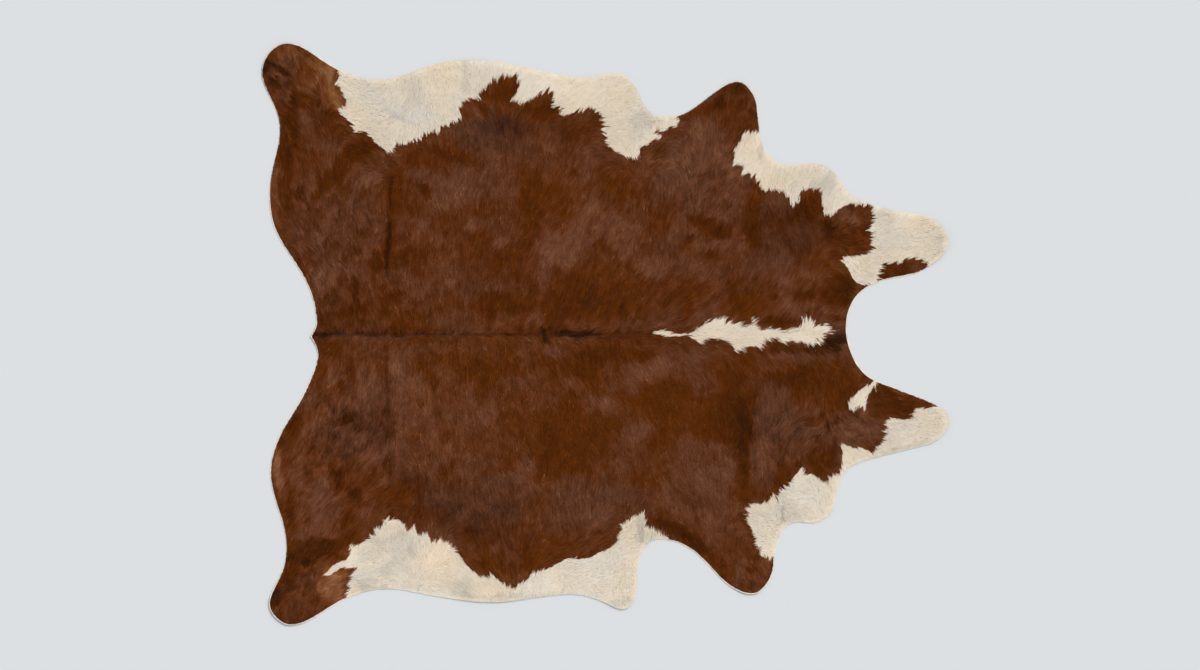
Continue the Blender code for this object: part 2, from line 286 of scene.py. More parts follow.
# The way the hair grows, (x, y, heading), in millimetres on the pattern and
# degrees from +X, region by region.
HAIR_WAY = {
    "hind_leg_left": (
        (-1020, 920, 115), (-955, 800, 112), (-955, 685, 110), (-905, 520, 108),
        (-1090, 885, 125), (-1080, 450, 112), (-1055, 285, 118),
    ),
    "rump_left": (
        (-890, 315, 104), (-890, 115, 98), (-960, 55, 120), (-755, 80, 95),
    ),
    "flank_left": (
        (-870, 775, -40), (-805, 785, -20), (-830, 690, -15), (-785, 670, -30),
        (-765, 640, -40), (-725, 610, -70), (-695, 640, 95), (-640, 650, 100),
        (-550, 695, 110), (-485, 760, 120), (-460, 790, 130), (-685, 785, 60),
        (-585, 820, 90), (-470, 870, 100),
    ),
    "belly_left": (
        (-385, 835, 85), (-320, 855, 60), (-250, 835, 60), (-190, 820, 50), (-155, 760, 10),
        (-115, 800, 40), (-65, 750, 80), (-15, 720, 5), (5, 650, -20), (50, 750, 20),
        (95, 590, -60), (65, 670, -40), (170, 720, -10),
    ),
    "elbow_left": (
        (145, 660, 200), (185, 685, 208), (240, 720, 215), (285, 770, 60), (200, 600, 200),
    ),
    "back_left": (
        (-620, 115, 86), (-620, 315, 86), (-620, 500, 90), (-485, 585, 92), (-350, 115, 80),
        (-350, 350, 82), (-350, 585, 85), (-150, 620, 80), (-85, 115, 78), (-85, 350, 78),
        (-85, 535, 80), (50, 485, 82), (185, 115, 72), (185, 315, 75), (200, 485, 88),
        (450, 150, 66), (450, 350, 74), (320, 285, 74),
    ),
    "foreleg_left": (
        (285, 620, 88), (385, 685, 86), (385, 550, 88), (435, 810, 80), (335, 735, 75),
        (485, 750, 75), (450, 620, 70),
    ),
    "shoulder_left": (
        (435, 570, 60), (500, 530, 50), (535, 620, 40), (595, 485, 90), (655, 450, 85),
        (655, 525, 60), (735, 485, 50), (805, 450, 40),
    ),
    "neck_left": (
        (855, 425, 70), (900, 395, 20), (895, 285, -10), (820, 215, -60), (870, 165, -30),
        (955, 365, 30), (1005, 315, 10), (1090, 315, 5), (990, 215, 60), (855, 335, 10),
        (620, 250, 100), (585, 350, 110), (655, 150, 70),
    ),
    "whorl_left": (
        (665, 335, 160), (805, 350, 15), (735, 405, 90), (735, 265, 84), (695, 385, 130),
        (785, 290, -40),
    ),
    "backbone": (
        (-855, 20, 92), (-855, -30, -92), (-520, 20, 84), (-520, -25, -84), (-185, 20, 78),
        (-185, -30, -78), (50, 20, 74), (50, -35, -74), (185, 5, 10), (285, 10, 5),
        (285, 30, 60), (285, -25, -60), (420, 0, 3), (420, 50, 55), (420, -50, -55),
        (585, 0, 0), (570, 40, 60), (570, -40, -60), (675, 50, 80), (695, -35, -70),
        (740, 10, 0), (785, 55, 40), (785, -50, -40),
    ),
    "rump_right": (
        (-890, -120, 262), (-890, -285, 258), (-960, -60, 240), (-755, -120, 268),
        (-1020, -255, 242),
    ),
    "hind_leg_right": (
        (-920, -455, 254), (-955, -620, 250), (-1020, -755, 248), (-1055, -890, 245),
        (-1105, -485, 250), (-990, -855, 250), (-890, -690, 235),
    ),
    "flank_right": (
        (-840, -720, 215), (-905, -780, 205), (-870, -755, 205), (-765, -600, 225),
        (-705, -620, 225), (-680, -630, 90), (-655, -650, 90), (-615, -670, 95),
        (-735, -655, 70), (-685, -755, 150), (-785, -790, 190), (-555, -720, 70),
        (-475, -750, -45), (-425, -805, -45), (-520, -820, -30),
    ),
    "belly_right": (
        (-365, -815, -60), (-305, -850, -80), (-250, -840, -120), (-145, -770, 200),
        (-50, -755, 205), (35, -700, 210), (-15, -820, 200), (120, -595, 80),
        (160, -650, 95), (85, -755, 230), (65, -855, 250),
    ),
    "back_right": (
        (-620, -120, -85), (-620, -355, -86), (-585, -555, -86), (-350, -120, -80),
        (-350, -355, -81), (-350, -605, -82), (-385, -740, -80), (-85, -120, -78),
        (-85, -355, -79), (-85, -590, -80), (185, -120, -74), (185, -355, -78),
        (185, -540, -80), (385, -120, -72), (420, -355, -86), (320, -220, -84),
    ),
    "foreleg_right": (
        (250, -655, -62), (285, -555, -78), (435, -820, -70), (385, -655, -78),
        (470, -755, -72), (435, -555, -88),
    ),
    "shoulder_right": (
        (480, -570, 150), (520, -655, 160), (610, -505, -40), (635, -475, 80),
        (655, -555, 20), (740, -495, -80), (720, -555, -80), (535, -520, -80),
        (620, -405, -95), (795, -420, -80), (790, -360, -80),
    ),
    "whorl_right": (
        (675, -315, 180), (840, -310, 0), (755, -395, -90), (755, -235, -88),
        (705, -355, 225), (805, -355, -45), (695, -260, 230), (820, -260, -50),
    ),
    "neck_right": (
        (885, -385, -45), (940, -325, 0), (1030, -275, 10), (1005, -355, 15),
        (1105, -285, 5), (920, -220, -10), (870, -220, 235), (850, -175, 235),
        (655, -120, -74), (585, -220, -90), (990, -235, -5),
    ),
}

# Where the hair is curly: middle, reach and how strongly.
CURLY = (
    ("rump_left", -900, 270, 360, 0.75),
    ("rump_right", -910, -330, 360, 0.75),
    ("thigh_right", -960, -520, 200, 0.50),
    ("curls_left", 830, 350, 130, 0.9),
    ("foreleg_left", 300, 500, 300, 0.60),
    ("loin_left", -480, 480, 260, 0.25),
    ("leg_left", -1050, 800, 260, 0.60),
    ("leg_right", -1050, -840, 260, 0.60),
    ("neck_fan_right", 600, -330, 260, 0.50),
    ("whorl_right", 860, -330, 120, 0.7),
    ("spine_knot", -130, 0, 110, 0.9),
)

# Where the coat is sleekest, with the least unevenness.
SLEEK = (
    ("shoulder_right", 250, -290, 420, 0.40),
    ("neck_left", 610, 280, 260, 0.25),
    ("side_right", -100, -350, 260, 0.20),
)

# Where the hair is longer or shorter than elsewhere, in millimetres.
LENGTHS = (
    ("spine_stripe", 500, 0, 300, 3.0),
    ("hind_leg_left", -1070, 880, 260, -3.0),
    ("hind_leg_right", -1050, -890, 260, -3.0),
    ("foreleg_left", 440, 800, 220, -2.5),
    ("foreleg_right", 480, -800, 220, -2.5),
    ("belly_left", -420, 870, 330, 3.0),
    ("belly_right", -420, -860, 330, 3.0),
)

# Places where the combed coat catches the light or swallows it, painted into
# the hair colour: where, how wide along and across, the angle of the long axis,
# the sheen, +1 a dull rosy painted sheen and -1 a deep orange brown without it,
# and how much lighter the hair is, its own tone with painted sheen and painted
# shade mixed in.
SHADE_COLUMNS = ("shade", "x", "y", "along", "across", "angle", "sheen", "lighter")
SHADES = (
    ("tip_light", -1062, 953, 67, 23, -10, -0.1, 0.06),
    ("tip_dark", -1136, 896, 37, 27, 85, -0.6, -0.16),
    ("tip_dark_streak", -1085, 883, 44, 13, -30, -0.5, -0.12),
    ("leg_dark_spot", -1109, 839, 20, 20, 0, -0.7, -0.106),
    ("leg_light", -1012, 879, 60, 44, -30, -0.2, 0.033),
    ("leg_tan", -908, 826, 90, 57, -62, 0.3, 0.13),
    ("leg_tan_up", -941, 899, 57, 44, -30, 0.3, 0.12),
    ("leg_tan_edge", -901, 792, 47, 20, -80, -0.2, 0.13),
    ("leg_tan_inner", -982, 886, 54, 34, -40, 0.2, 0.04),
    ("leg_dark_band", -1022, 796, 57, 27, -20, -0.8, -0.056),
    ("leg_side_dark", -1052, 678, 161, 30, 88, -1.0, -0.079),
    ("leg_fleck", -921, 732, 40, 30, 80, -0.4, -0.036),
    ("hock_bloom", -921, 628, 44, 34, 40, 0.75, 0.018),
    ("hock_bloom_b", -985, 611, 40, 30, 80, 0.2, 0.006),
    ("thigh_parting", -901, 544, 147, 34, 49, -1.5, -0.063),
    ("thigh_parting_top", -827, 631, 47, 44, 60, -0.9, -0.02),
    ("thigh_dark", -1062, 461, 74, 37, 85, -0.3, -0.046),
    ("thigh_shadow", -1022, 477, 34, 17, 85, -0.5, -0.099),
    ("thigh_margin", -1109, 477, 107, 17, 88, 0.5, 0.045),
    ("hip_bloom", -784, 521, 47, 34, 30, 1.0, 0.036),
    ("hip_bloom_b", -848, 424, 47, 17, 85, 0.4, 0.018),
    ("rump_fleck", -804, 367, 20, 20, 0, 0.6, 0.024),
    ("rump_plum", -1025, 343, 80, 60, 60, 0.3, 0.0),
    ("rump_bloom_top", -961, 290, 34, 34, 0, 0.6, 0.024),
    ("rump_bloom", -925, 199, 60, 57, 60, 1.2, 0.051),
    ("rump_spot", -871, 243, 20, 17, 0, -0.6, -0.033),
    ("rump_stroke", -834, 149, 44, 13, 85, -0.5, -0.046),
    ("rump_warm", -781, 236, 47, 37, 60, -0.45, -0.007),
    ("rump_edge_dark", -978, 196, 30, 10, 70, -0.2, -0.033),
    ("tail_dark", -894, 82, 94, 27, 0, -0.5, -0.05),
    ("tail_dark_b", -881, 42, 107, 17, 0, -0.4, -0.04),
    ("crease_band", -717, 377, 154, 20, 88, -0.75, 0.0),
    ("crease_band_low", -727, 283, 80, 20, 85, -0.5, -0.013),
    ("crease_fleck", -717, 173, 23, 23, 0, 0.3, 0.036),
    ("crease_fleck_b", -700, 139, 23, 17, 0, -0.4, -0.03),
    ("rump_margin_red", -737, 116, 60, 40, 80, -0.3, 0.0),
    ("loin_bloom_top", -647, 534, 47, 37, 0, 1.0, 0.021),
    ("loin_bloom", -533, 504, 147, 60, -4, 0.8, 0.012),
    ("loin_bloom_core", -506, 474, 67, 44, 0, 0.5, 0.021),
    ("loin_bloom_side", -352, 511, 84, 77, 0, 0.55, 0.015),
    ("loin_bloom_low", -590, 407, 50, 44, 70, 0.6, 0.018),
    ("loin_spot", -603, 481, 27, 20, 80, -1.2, -0.053),
    ("loin_fleck", -425, 363, 37, 30, 20, 0.75, 0.042),
    ("loin_plum", -432, 685, 114, 47, 12, 0.55, -0.05),
    ("loin_streak", -502, 588, 100, 17, -16, -0.3, -0.043),
    ("loin_streak_b", -553, 611, 60, 13, -8, -0.3, -0.02),
    ("under_white_plum", -342, 658, 114, 67, 0, 0.75, -0.036),
    ("under_white_dark", -312, 705, 141, 34, -3, 0.25, -0.063),
    ("under_white_dark_b", -201, 749, 60, 27, -10, -0.7, -0.05),
    ("belly_tuft", -352, 812, 60, 40, 20, -0.4, -0.02),
    ("belly_tuft_spot", -405, 749, 17, 17, 0, -0.5, -0.033),
    ("belly_side_plum", -271, 595, 47, 27, 0, 0.4, 0.009),
    ("belly_side_light", -191, 611, 30, 20, 0, 0.4, 0.027),
    ("belly_side_dark", -131, 685, 60, 34, 0, -0.1, -0.03),
    ("side_warm_strip", -268, 451, 60, 34, 80, -0.3, -0.013),
    ("side_warm", -124, 457, 114, 54, 85, -0.2, 0.009),
    ("loin_warm", -596, 256, 107, 80, 0, -0.4, 0.0),
    ("loin_mauve", -636, 162, 67, 27, 0, 0.3, 0.0),
    ("loin_bright", -519, 176, 20, 17, 0, 0.9, 0.06),
    ("loin_mauve_b", -402, 166, 44, 23, 0, 0.3, 0.0),
    ("mid_deep", -429, 296, 60, 40, 60, -0.5, -0.007),
    ("mid_deep_b", -325, 246, 67, 47, 30, -0.6, -0.02),
    ("mid_deep_c", -251, 323, 60, 30, 80, -0.45, -0.017),
    ("mid_olive", -345, 109, 121, 44, 4, -0.8, -0.02),
    ("mid_olive_dark", -328, 79, 80, 20, 10, -0.1, -0.05),
    ("mid_olive_streak", -425, 129, 80, 20, -8, -0.1, -0.03),
    ("mid_olive_side", -251, 169, 67, 23, 80, -0.3, -0.03),
    ("mid_fleck", -234, 52, 30, 20, 0, 0.6, 0.03),
    ("loin_low_orange", -492, 95, 80, 23, 0, -0.4, 0.0),
    ("spine_mauve_a", -553, 45, 50, 20, 0, 0.35, 0.006),
    ("spine_mauve_b", -385, 28, 154, 17, 0, 0.35, 0.006),
    ("spine_orange", -620, 15, 114, 17, 0, -0.3, 0.0),
    ("side_bloom", -151, 276, 74, 54, 20, 1.0, 0.048),
    ("side_bloom_b", -77, 330, 67, 50, 60, 0.9, 0.042),
    ("side_bloom_c", -47, 410, 60, 30, 70, 0.4, 0.027),
    ("side_bloom_low", -198, 203, 47, 37, 70, 0.4, 0.018),
    ("side_bloom_hole", -178, 236, 17, 20, 0, -0.6, -0.04),
    ("side_bloom_d", 23, 370, 67, 50, 85, 0.9, 0.051),
    ("side_bloom_e", 94, 323, 67, 54, 60, 0.7, 0.045),
    ("side_bloom_f", 137, 236, 40, 37, 60, 0.6, 0.042),
    ("side_plum", 211, 317, 74, 37, 10, 0.55, 0.012),
    ("back_deep", -97, 146, 84, 84, 30, -1.15, -0.04),
    ("back_deep_low", -164, 69, 67, 40, 0, -0.8, -0.023),
    ("back_deep_b", 17, 95, 100, 54, 0, -0.75, -0.02),
    ("back_deep_top", -23, 236, 44, 44, 60, -0.65, -0.013),
    ("back_spot", 60, 79, 37, 20, 88, -0.3, -0.073),
    ("back_orange", 184, 129, 188, 74, 0, -0.4, 0.0),
    ("back_orange_b", 298, 142, 100, 44, 0, -0.3, -0.007),
    ("belly_front", 90, 511, 74, 84, 0, -0.45, 0.0),
    ("belly_front_spot", -13, 464, 27, 20, 0, 0, -0.023),
    ("elbow_bloom", 302, 598, 147, 121, 70, 1.1, 0.018),
    ("elbow_bloom_low", 238, 524, 80, 67, 50, 0.6, 0.006),
    ("elbow_bloom_front", 432, 504, 80, 27, 85, 0.5, 0.03),
    ("foreleg_light", 315, 692, 67, 27, 86, 0.4, 0.039),
    ("foreleg_light_b", 298, 625, 34, 30, 60, 0.4, 0.036),
    ("foreleg_dark_spot", 392, 782, 27, 20, 80, -1.2, -0.092),
    ("foreleg_tip_dark", 446, 822, 27, 20, 0, -0.7, -0.12),
    ("foreleg_tip_dark_b", 449, 776, 20, 13, 80, -0.4, -0.07),
    ("foreleg_tip_dark_c", 486, 742, 20, 17, 0, -0.3, -0.055),
    ("foreleg_orange", 332, 752, 54, 20, 28, -1.1, -0.013),
    ("elbow_top_dark", 191, 628, 40, 23, 35, -0.2, -0.05),
    ("elbow_top_dark_b", 241, 672, 30, 17, 30, -0.2, -0.033),
    ("elbow_top_spot", 278, 658, 23, 13, 80, 0, -0.036),
    ("elbow_mark", 318, 524, 60, 40, 25, -0.55, -0.013),
    ("elbow_hole", 409, 430, 20, 20, 0, -0.2, -0.05),
    ("elbow_deep", 335, 367, 67, 23, -30, -1.3, -0.053),
    ("elbow_deep_spot", 392, 340, 27, 27, 0, -0.9, -0.073),
    ("elbow_deep_low", 271, 323, 37, 17, -25, -0.4, -0.046),
    ("elbow_low_light", 372, 296, 47, 17, 0, 0.6, 0.024),
    ("elbow_low_orange", 348, 260, 50, 13, -4, -0.5, -0.036),
    ("elbow_low_orange_b", 288, 296, 27, 27, 0, -0.5, 0.0),
    ("elbow_low_mauve", 291, 223, 30, 13, 0, 0.3, 0.009),
    ("neck_dark", 603, 363, 141, 94, 0, 0.1, -0.059),
    ("neck_orange", 499, 410, 127, 37, 86, -0.85, -0.007),
    ("neck_orange_low", 506, 317, 37, 23, 80, -0.4, -0.04),
    ("shoulder_orange", 680, 424, 60, 44, 80, -0.95, -0.026),
    ("whorl_dark", 747, 343, 40, 23, 88, -0.8, -0.106),
    ("neck_olive", 653, 323, 80, 54, 0, 0.1, -0.013),
    ("curls", 821, 397, 47, 37, 0, 0.9, 0.039),
    ("curls_rim", 871, 357, 50, 13, 88, -0.3, -0.06),
    ("curls_spot", 797, 323, 20, 17, 0, 0, -0.03),
    ("neck_rose", 546, 240, 134, 47, 0, 0.6, -0.02),
    ("neck_light", 687, 196, 40, 20, 0, 0.5, 0.027),
    ("neck_light_b", 616, 169, 30, 20, 0, 0.6, 0.027),
    ("neck_mid_dark", 446, 162, 67, 44, 0, 0.05, -0.033),
    ("neck_mid_spot", 399, 199, 17, 17, 0, 0, -0.033),
    ("neck_low_streak", 573, 126, 30, 13, 0, -0.4, -0.056),
    ("nape_deep", 673, 132, 40, 23, 0, -0.5, -0.063),
    ("nape_dark", 774, 149, 50, 47, 60, -1.1, -0.083),
    ("nape_dark_b", 817, 142, 40, 23, 80, -0.5, -0.04),
    ("nape_light", 623, 82, 44, 23, 0, 0.6, 0.039),
    ("nape_streak", 586, 42, 74, 17, 0, -0.5, -0.086),
    ("nape_streak_b", 754, 55, 47, 13, -10, -0.5, -0.046),
    ("neck_low_orange", 502, 106, 94, 34, 0, -0.4, -0.013),
    ("spine_rose", 117, 25, 154, 20, 0, 0.45, -0.013),
    ("throat_spot", 998, 216, 100, 40, -10, -0.3, -0.053),
    ("tail_low_dark", -928, -49, 44, 34, 0, -0.55, -0.05),
    ("rump_low_bloom", -918, -142, 40, 27, 80, 0.6, 0.027),
    ("rump_low_stroke", -848, -116, 50, 23, 86, -0.75, -0.059),
    ("rump_low_stroke_b", -884, -169, 27, 13, 80, -0.6, -0.046),
    ("rump_low_mauve", -794, -152, 74, 34, 86, 0.45, 0.021),
    ("crease_low_strip", -727, -136, 114, 10, 88, -0.4, -0.033),
    ("crease_low_light", -700, -106, 44, 23, 85, 0.6, 0.03),
    ("loin_low_light", -680, -179, 57, 64, 0, 0.35, 0.045),
    ("loin_low_light_b", -620, -226, 47, 60, 0, 0.1, 0.042),
    ("rump_low_bloom_b", -901, -233, 30, 27, 0, 0.4, 0.0),
    ("rump_low_grey", -988, -313, 50, 44, 0, 0.3, 0.0),
    ("rump_arc", -864, -286, 60, 17, 16, -0.7, -0.066),
    ("rump_arc_left", -918, -310, 27, 17, 80, -0.3, -0.043),
    ("rump_arc_right", -814, -310, 30, 17, 70, -0.3, -0.046),
    ("rump_low_dark", -848, -340, 121, 87, 0, 0.25, -0.04),
    ("rump_low_plum", -781, -219, 87, 60, 60, 0.2, -0.026),
    ("crease_low_dark", -724, -303, 57, 27, 84, -0.6, -0.069),
    ("crease_low_dark_b", -767, -340, 34, 30, 0, -0.3, -0.04),
    ("crease_low_dark_c", -720, -427, 50, 23, 88, -0.3, -0.069),
    ("thigh_low_notch", -1042, -320, 64, 20, 70, -0.7, -0.059),
    ("thigh_low_rim", -1099, -461, 87, 20, 93, 0.5, 0.13),
    ("thigh_low_bloom", -972, -518, 54, 44, -20, 1.0, 0.018),
    ("thigh_low_bloom_b", -948, -601, 60, 47, 80, 0.8, 0.012),
    ("thigh_low_bloom_c", -992, -658, 67, 30, 0, 0.6, 0.012),
    ("thigh_low_curl", -988, -454, 37, 17, 60, -0.4, -0.046),
    ("thigh_low_deep", -891, -474, 60, 27, -58, -0.85, -0.066),
    ("thigh_low_deep_b", -844, -534, 44, 37, -40, -0.9, -0.056),
    ("thigh_low_deep_c", -864, -628, 34, 20, 80, -0.8, -0.059),
    ("thigh_low_strip", -827, -601, 37, 13, 70, 0.4, 0.03),
    ("thigh_low_edge", -1049, -588, 67, 20, 88, -0.85, -0.073),
    ("thigh_low_band", -961, -729, 107, 40, 0, -1.3, -0.102),
    ("thigh_low_band_side", -848, -692, 47, 23, 25, -0.7, -0.04),
    ("leg_low_dark", -1052, -786, 47, 30, 75, -0.8, -0.059),
    ("leg_low_streak", -1012, -819, 57, 10, 6, 0.5, 0.018),
    ("leg_low_tip_dark", -1106, -883, 30, 27, 80, -0.6, -0.15),
    ("leg_low_streak_b", -1059, -856, 50, 10, 14, -0.6, -0.059),
    ("leg_low_light", -1008, -896, 60, 40, 20, -0.3, 0.012),
    ("leg_low_tan", -911, -849, 74, 47, 48, -0.1, 0.165),
    ("leg_low_tan_edge", -881, -809, 34, 30, 0, -0.2, 0.08),
    ("loin_low_deep", -606, -136, 74, 40, -36, -0.85, -0.03),
    ("loin_low_deep_b", -519, -206, 44, 34, 0, -0.6, -0.007),
    ("loin_low_patch", -536, -122, 30, 34, 0, 0.2, 0.024),
    ("mid_low_deep", -419, -132, 54, 50, 0, -0.9, -0.023),
    ("mid_low_deep_b", -425, -219, 44, 23, 85, -0.5, -0.023),
    ("mid_low_deep_c", -285, -109, 147, 47, 0, -0.6, -0.017),
    ("spine_low_mauve", -553, -45, 121, 20, 0, 0.4, 0.021),
    ("back_low_bloom", -178, -52, 30, 27, -30, 0.8, 0.033),
    ("back_low_bloom_b", -107, -169, 40, 37, 60, 0.9, 0.048),
    ("back_low_bloom_c", -44, -219, 60, 34, 20, 0.55, 0.018),
    ("back_low_deep", -60, -89, 64, 54, 0, -1.15, -0.043),
    ("side_low_deep", -114, -340, 121, 124, 0, -0.9, -0.017),
    ("side_low_deep_b", -191, -337, 121, 27, 88, -0.4, -0.03),
    ("side_low_deep_c", -157, -447, 100, 40, 0, -0.45, -0.007),
    ("mid_low_mauve", -439, -300, 74, 47, 0, 0.3, 0.009),
    ("loin_plum_low", -680, -374, 57, 37, 0, 0.45, 0.0),
    ("loin_plum_low_b", -600, -343, 44, 27, 70, 0.45, 0.012),
    ("loin_fleck_low", -526, -380, 17, 17, 0, 0.7, 0.036),
    ("belly_purple", -425, -554, 208, 87, 4, 0.45, -0.036),
    ("belly_purple_b", -586, -514, 121, 60, -20, 0.25, -0.033),
    ("mid_purple", -17, -528, 174, 60, 0, 0.35, -0.02),
    ("mid_bloom", -452, -427, 77, 40, 0, 0.6, 0.006),
    ("mid_bloom_b", -563, -441, 47, 34, 60, 0.4, -0.007),
    ("mid_bloom_c", -325, -487, 87, 34, 6, 0.8, 0.012),
    ("mid_bloom_d", -234, -521, 50, 30, 20, 0.45, 0.009),
    ("mid_bloom_e", -268, -430, 27, 27, 0, 0.4, 0.012),
    ("mid_stroke", -275, -518, 34, 10, 42, -0.5, -0.043),
    ("loin_low_dark", -647, -474, 67, 54, 0, -0.1, -0.033),
    ("flank_orange", -690, -528, 70, 40, 0, -0.85, -0.01),
    ("flank_orange_b", -737, -447, 47, 30, 80, -0.4, 0.0),
    ("flank_orange_c", -580, -601, 67, 30, -10, -0.4, -0.033),
    ("belly_dark", -389, -638, 100, 60, 0, 0.0, -0.05),
    ("belly_dark_b", -436, -625, 40, 34, 0, 0.1, -0.033),
    ("belly_dark_c", -352, -575, 57, 30, 0, 0.2, -0.036),
    ("belly_dark_d", -529, -578, 50, 27, 0, -0.2, -0.05),
    ("belly_dark_e", -288, -702, 80, 40, 0, 0.1, -0.04),
    ("belly_side", -513, -635, 74, 30, -15, -0.3, -0.04),
    ("belly_low", -358, -762, 80, 37, 0, -0.3, -0.03),
    ("belly_warm", -452, -581, 34, 34, 0, -0.4, 0.0),
    ("belly_mauve", -44, -575, 121, 80, 0, 0.55, 0.0),
    ("belly_mauve_b", -164, -621, 87, 54, 0, 0.2, -0.023),
    ("belly_mauve_c", -368, -715, 30, 27, 0, 0.3, -0.013),
    ("spine_low_deep", 67, -59, 168, 23, 0, -0.9, -0.033),
    ("side_low_bloom", 157, -119, 94, 37, 8, 0.95, 0.042),
    ("side_low_bloom_b", 204, -75, 30, 27, 0, 0.4, 0.018),
    ("side_low_bloom_c", 67, -173, 64, 27, 4, 0.65, 0.036),
    ("side_low_bloom_d", 10, -116, 34, 23, 0, 0.4, 0.027),
    ("side_low_bloom_e", 285, -109, 37, 27, 0, 0.35, 0.018),
    ("side_low_light", -3, -226, 34, 20, 80, 0.4, 0.027),
    ("shoulder_deep", 278, -286, 188, 114, 0, -0.85, -0.01),
    ("shoulder_deep_b", 332, -119, 54, 47, 0, -0.5, -0.02),
    ("shoulder_deep_c", 117, -219, 74, 40, 0, -0.45, 0.0),
    ("shoulder_mauve", 117, -320, 60, 27, 0, 0.7, 0.018),
    ("side_low_orange", 20, -374, 100, 44, 85, -0.5, -0.013),
    ("neck_low_dark", 452, -226, 154, 67, 88, -0.45, -0.046),
    ("neck_low_dark_b", 392, -320, 80, 87, 0, -0.5, -0.026),
    ("neck_low_parting", 472, -353, 134, 23, 92, -0.7, -0.059),
    ("neck_low_parting_b", 472, -494, 74, 30, 90, -1.1, -0.03),
    ("nape_low_orange", 436, -102, 100, 60, 0, -0.4, -0.013),
    ("foreleg_low_bloom", 345, -474, 54, 30, 80, 0.95, 0.03),
    ("foreleg_low_bloom_b", 412, -451, 50, 20, 86, 0.9, 0.042),
    ("foreleg_low_bloom_c", 372, -521, 47, 27, 0, 0.5, 0.006),
    ("elbow_low_dark", 291, -541, 50, 40, 0, -0.1, -0.036),
    ("elbow_low_spot", 322, -564, 27, 20, 0, -0.2, -0.04),
    ("elbow_low_mauve_b", 64, -554, 127, 57, 0, 0.4, 0.0),
    ("elbow_low_fleck", 258, -578, 27, 17, 0, 0.5, 0.018),
    ("elbow_low_edge", 211, -645, 70, 23, -24, -0.9, -0.076),
    ("foreleg_low_edge", 298, -695, 80, 23, -44, -0.8, -0.069),
    ("foreleg_low_edge_b", 379, -776, 54, 23, -50, -0.4, -0.033),
    ("foreleg_low_mauve", 368, -655, 67, 67, 0, 0.3, 0.006),
    ("foreleg_low_tip", 456, -776, 50, 23, 88, 0.8, 0.024),
    ("foreleg_low_spot", 492, -782, 17, 17, 0, -0.6, -0.059),
    ("foreleg_low_spot_b", 509, -839, 30, 13, 0, -0.2, -0.043),
    ("foreleg_low_light", 536, -776, 27, 20, 80, 0.3, 0.027),
    ("fan_all", 590, -300, 147, 90, -78, 1.0, -0.046),
    ("fan_edge_dark", 456, -327, 134, 27, 88, -0.6, -0.033),
    ("fan", 573, -286, 100, 70, 85, 0.55, 0.012),
    ("fan_low", 536, -414, 104, 44, 86, 0.65, 0.015),
    ("fan_core", 516, -387, 47, 30, 85, 0.4, 0.009),
    ("fan_front", 647, -313, 67, 40, -20, 0.35, 0.006),
    ("fan_spot", 670, -286, 20, 20, 0, -0.7, -0.036),
    ("fan_fleck", 700, -330, 30, 13, 10, 0.7, 0.033),
    ("fan_dark", 586, -420, 30, 17, 80, -0.4, -0.04),
    ("fan_orange", 583, -467, 40, 34, 60, -0.5, -0.02),
    ("lobe_low_deep", 720, -404, 57, 60, 0, -0.75, -0.04),
    ("lobe_low_dark", 764, -357, 37, 20, 85, -0.5, -0.059),
    ("lobe_low_dark_b", 777, -394, 47, 17, 85, -0.2, -0.046),
    ("lobe_low_spot", 680, -427, 17, 17, 0, -0.2, -0.04),
    ("whorl_low_bloom", 861, -320, 84, 44, 10, 1.1, 0.024),
    ("neck_low_deep", 620, -146, 104, 37, 0, -1.1, -0.05),
    ("neck_low_deep_b", 720, -136, 60, 30, 86, -0.3, -0.033),
    ("neck_low_deep_c", 787, -166, 94, 67, 80, -0.8, -0.02),
    ("neck_low_deep_d", 817, -233, 44, 34, 70, -0.4, -0.04),
    ("neck_low_streak_b", 593, -75, 57, 13, 0, 0.7, 0.036),
    ("neck_low_top", 620, -49, 107, 17, 0, -0.4, -0.073),
    ("neck_low_top_b", 707, -49, 74, 23, 20, -0.4, -0.053),
    ("nape_low_black", 777, -22, 34, 34, 0, -0.2, -0.15),
    ("throat_low_dark", 955, -226, 121, 44, -18, -0.7, -0.05),
)
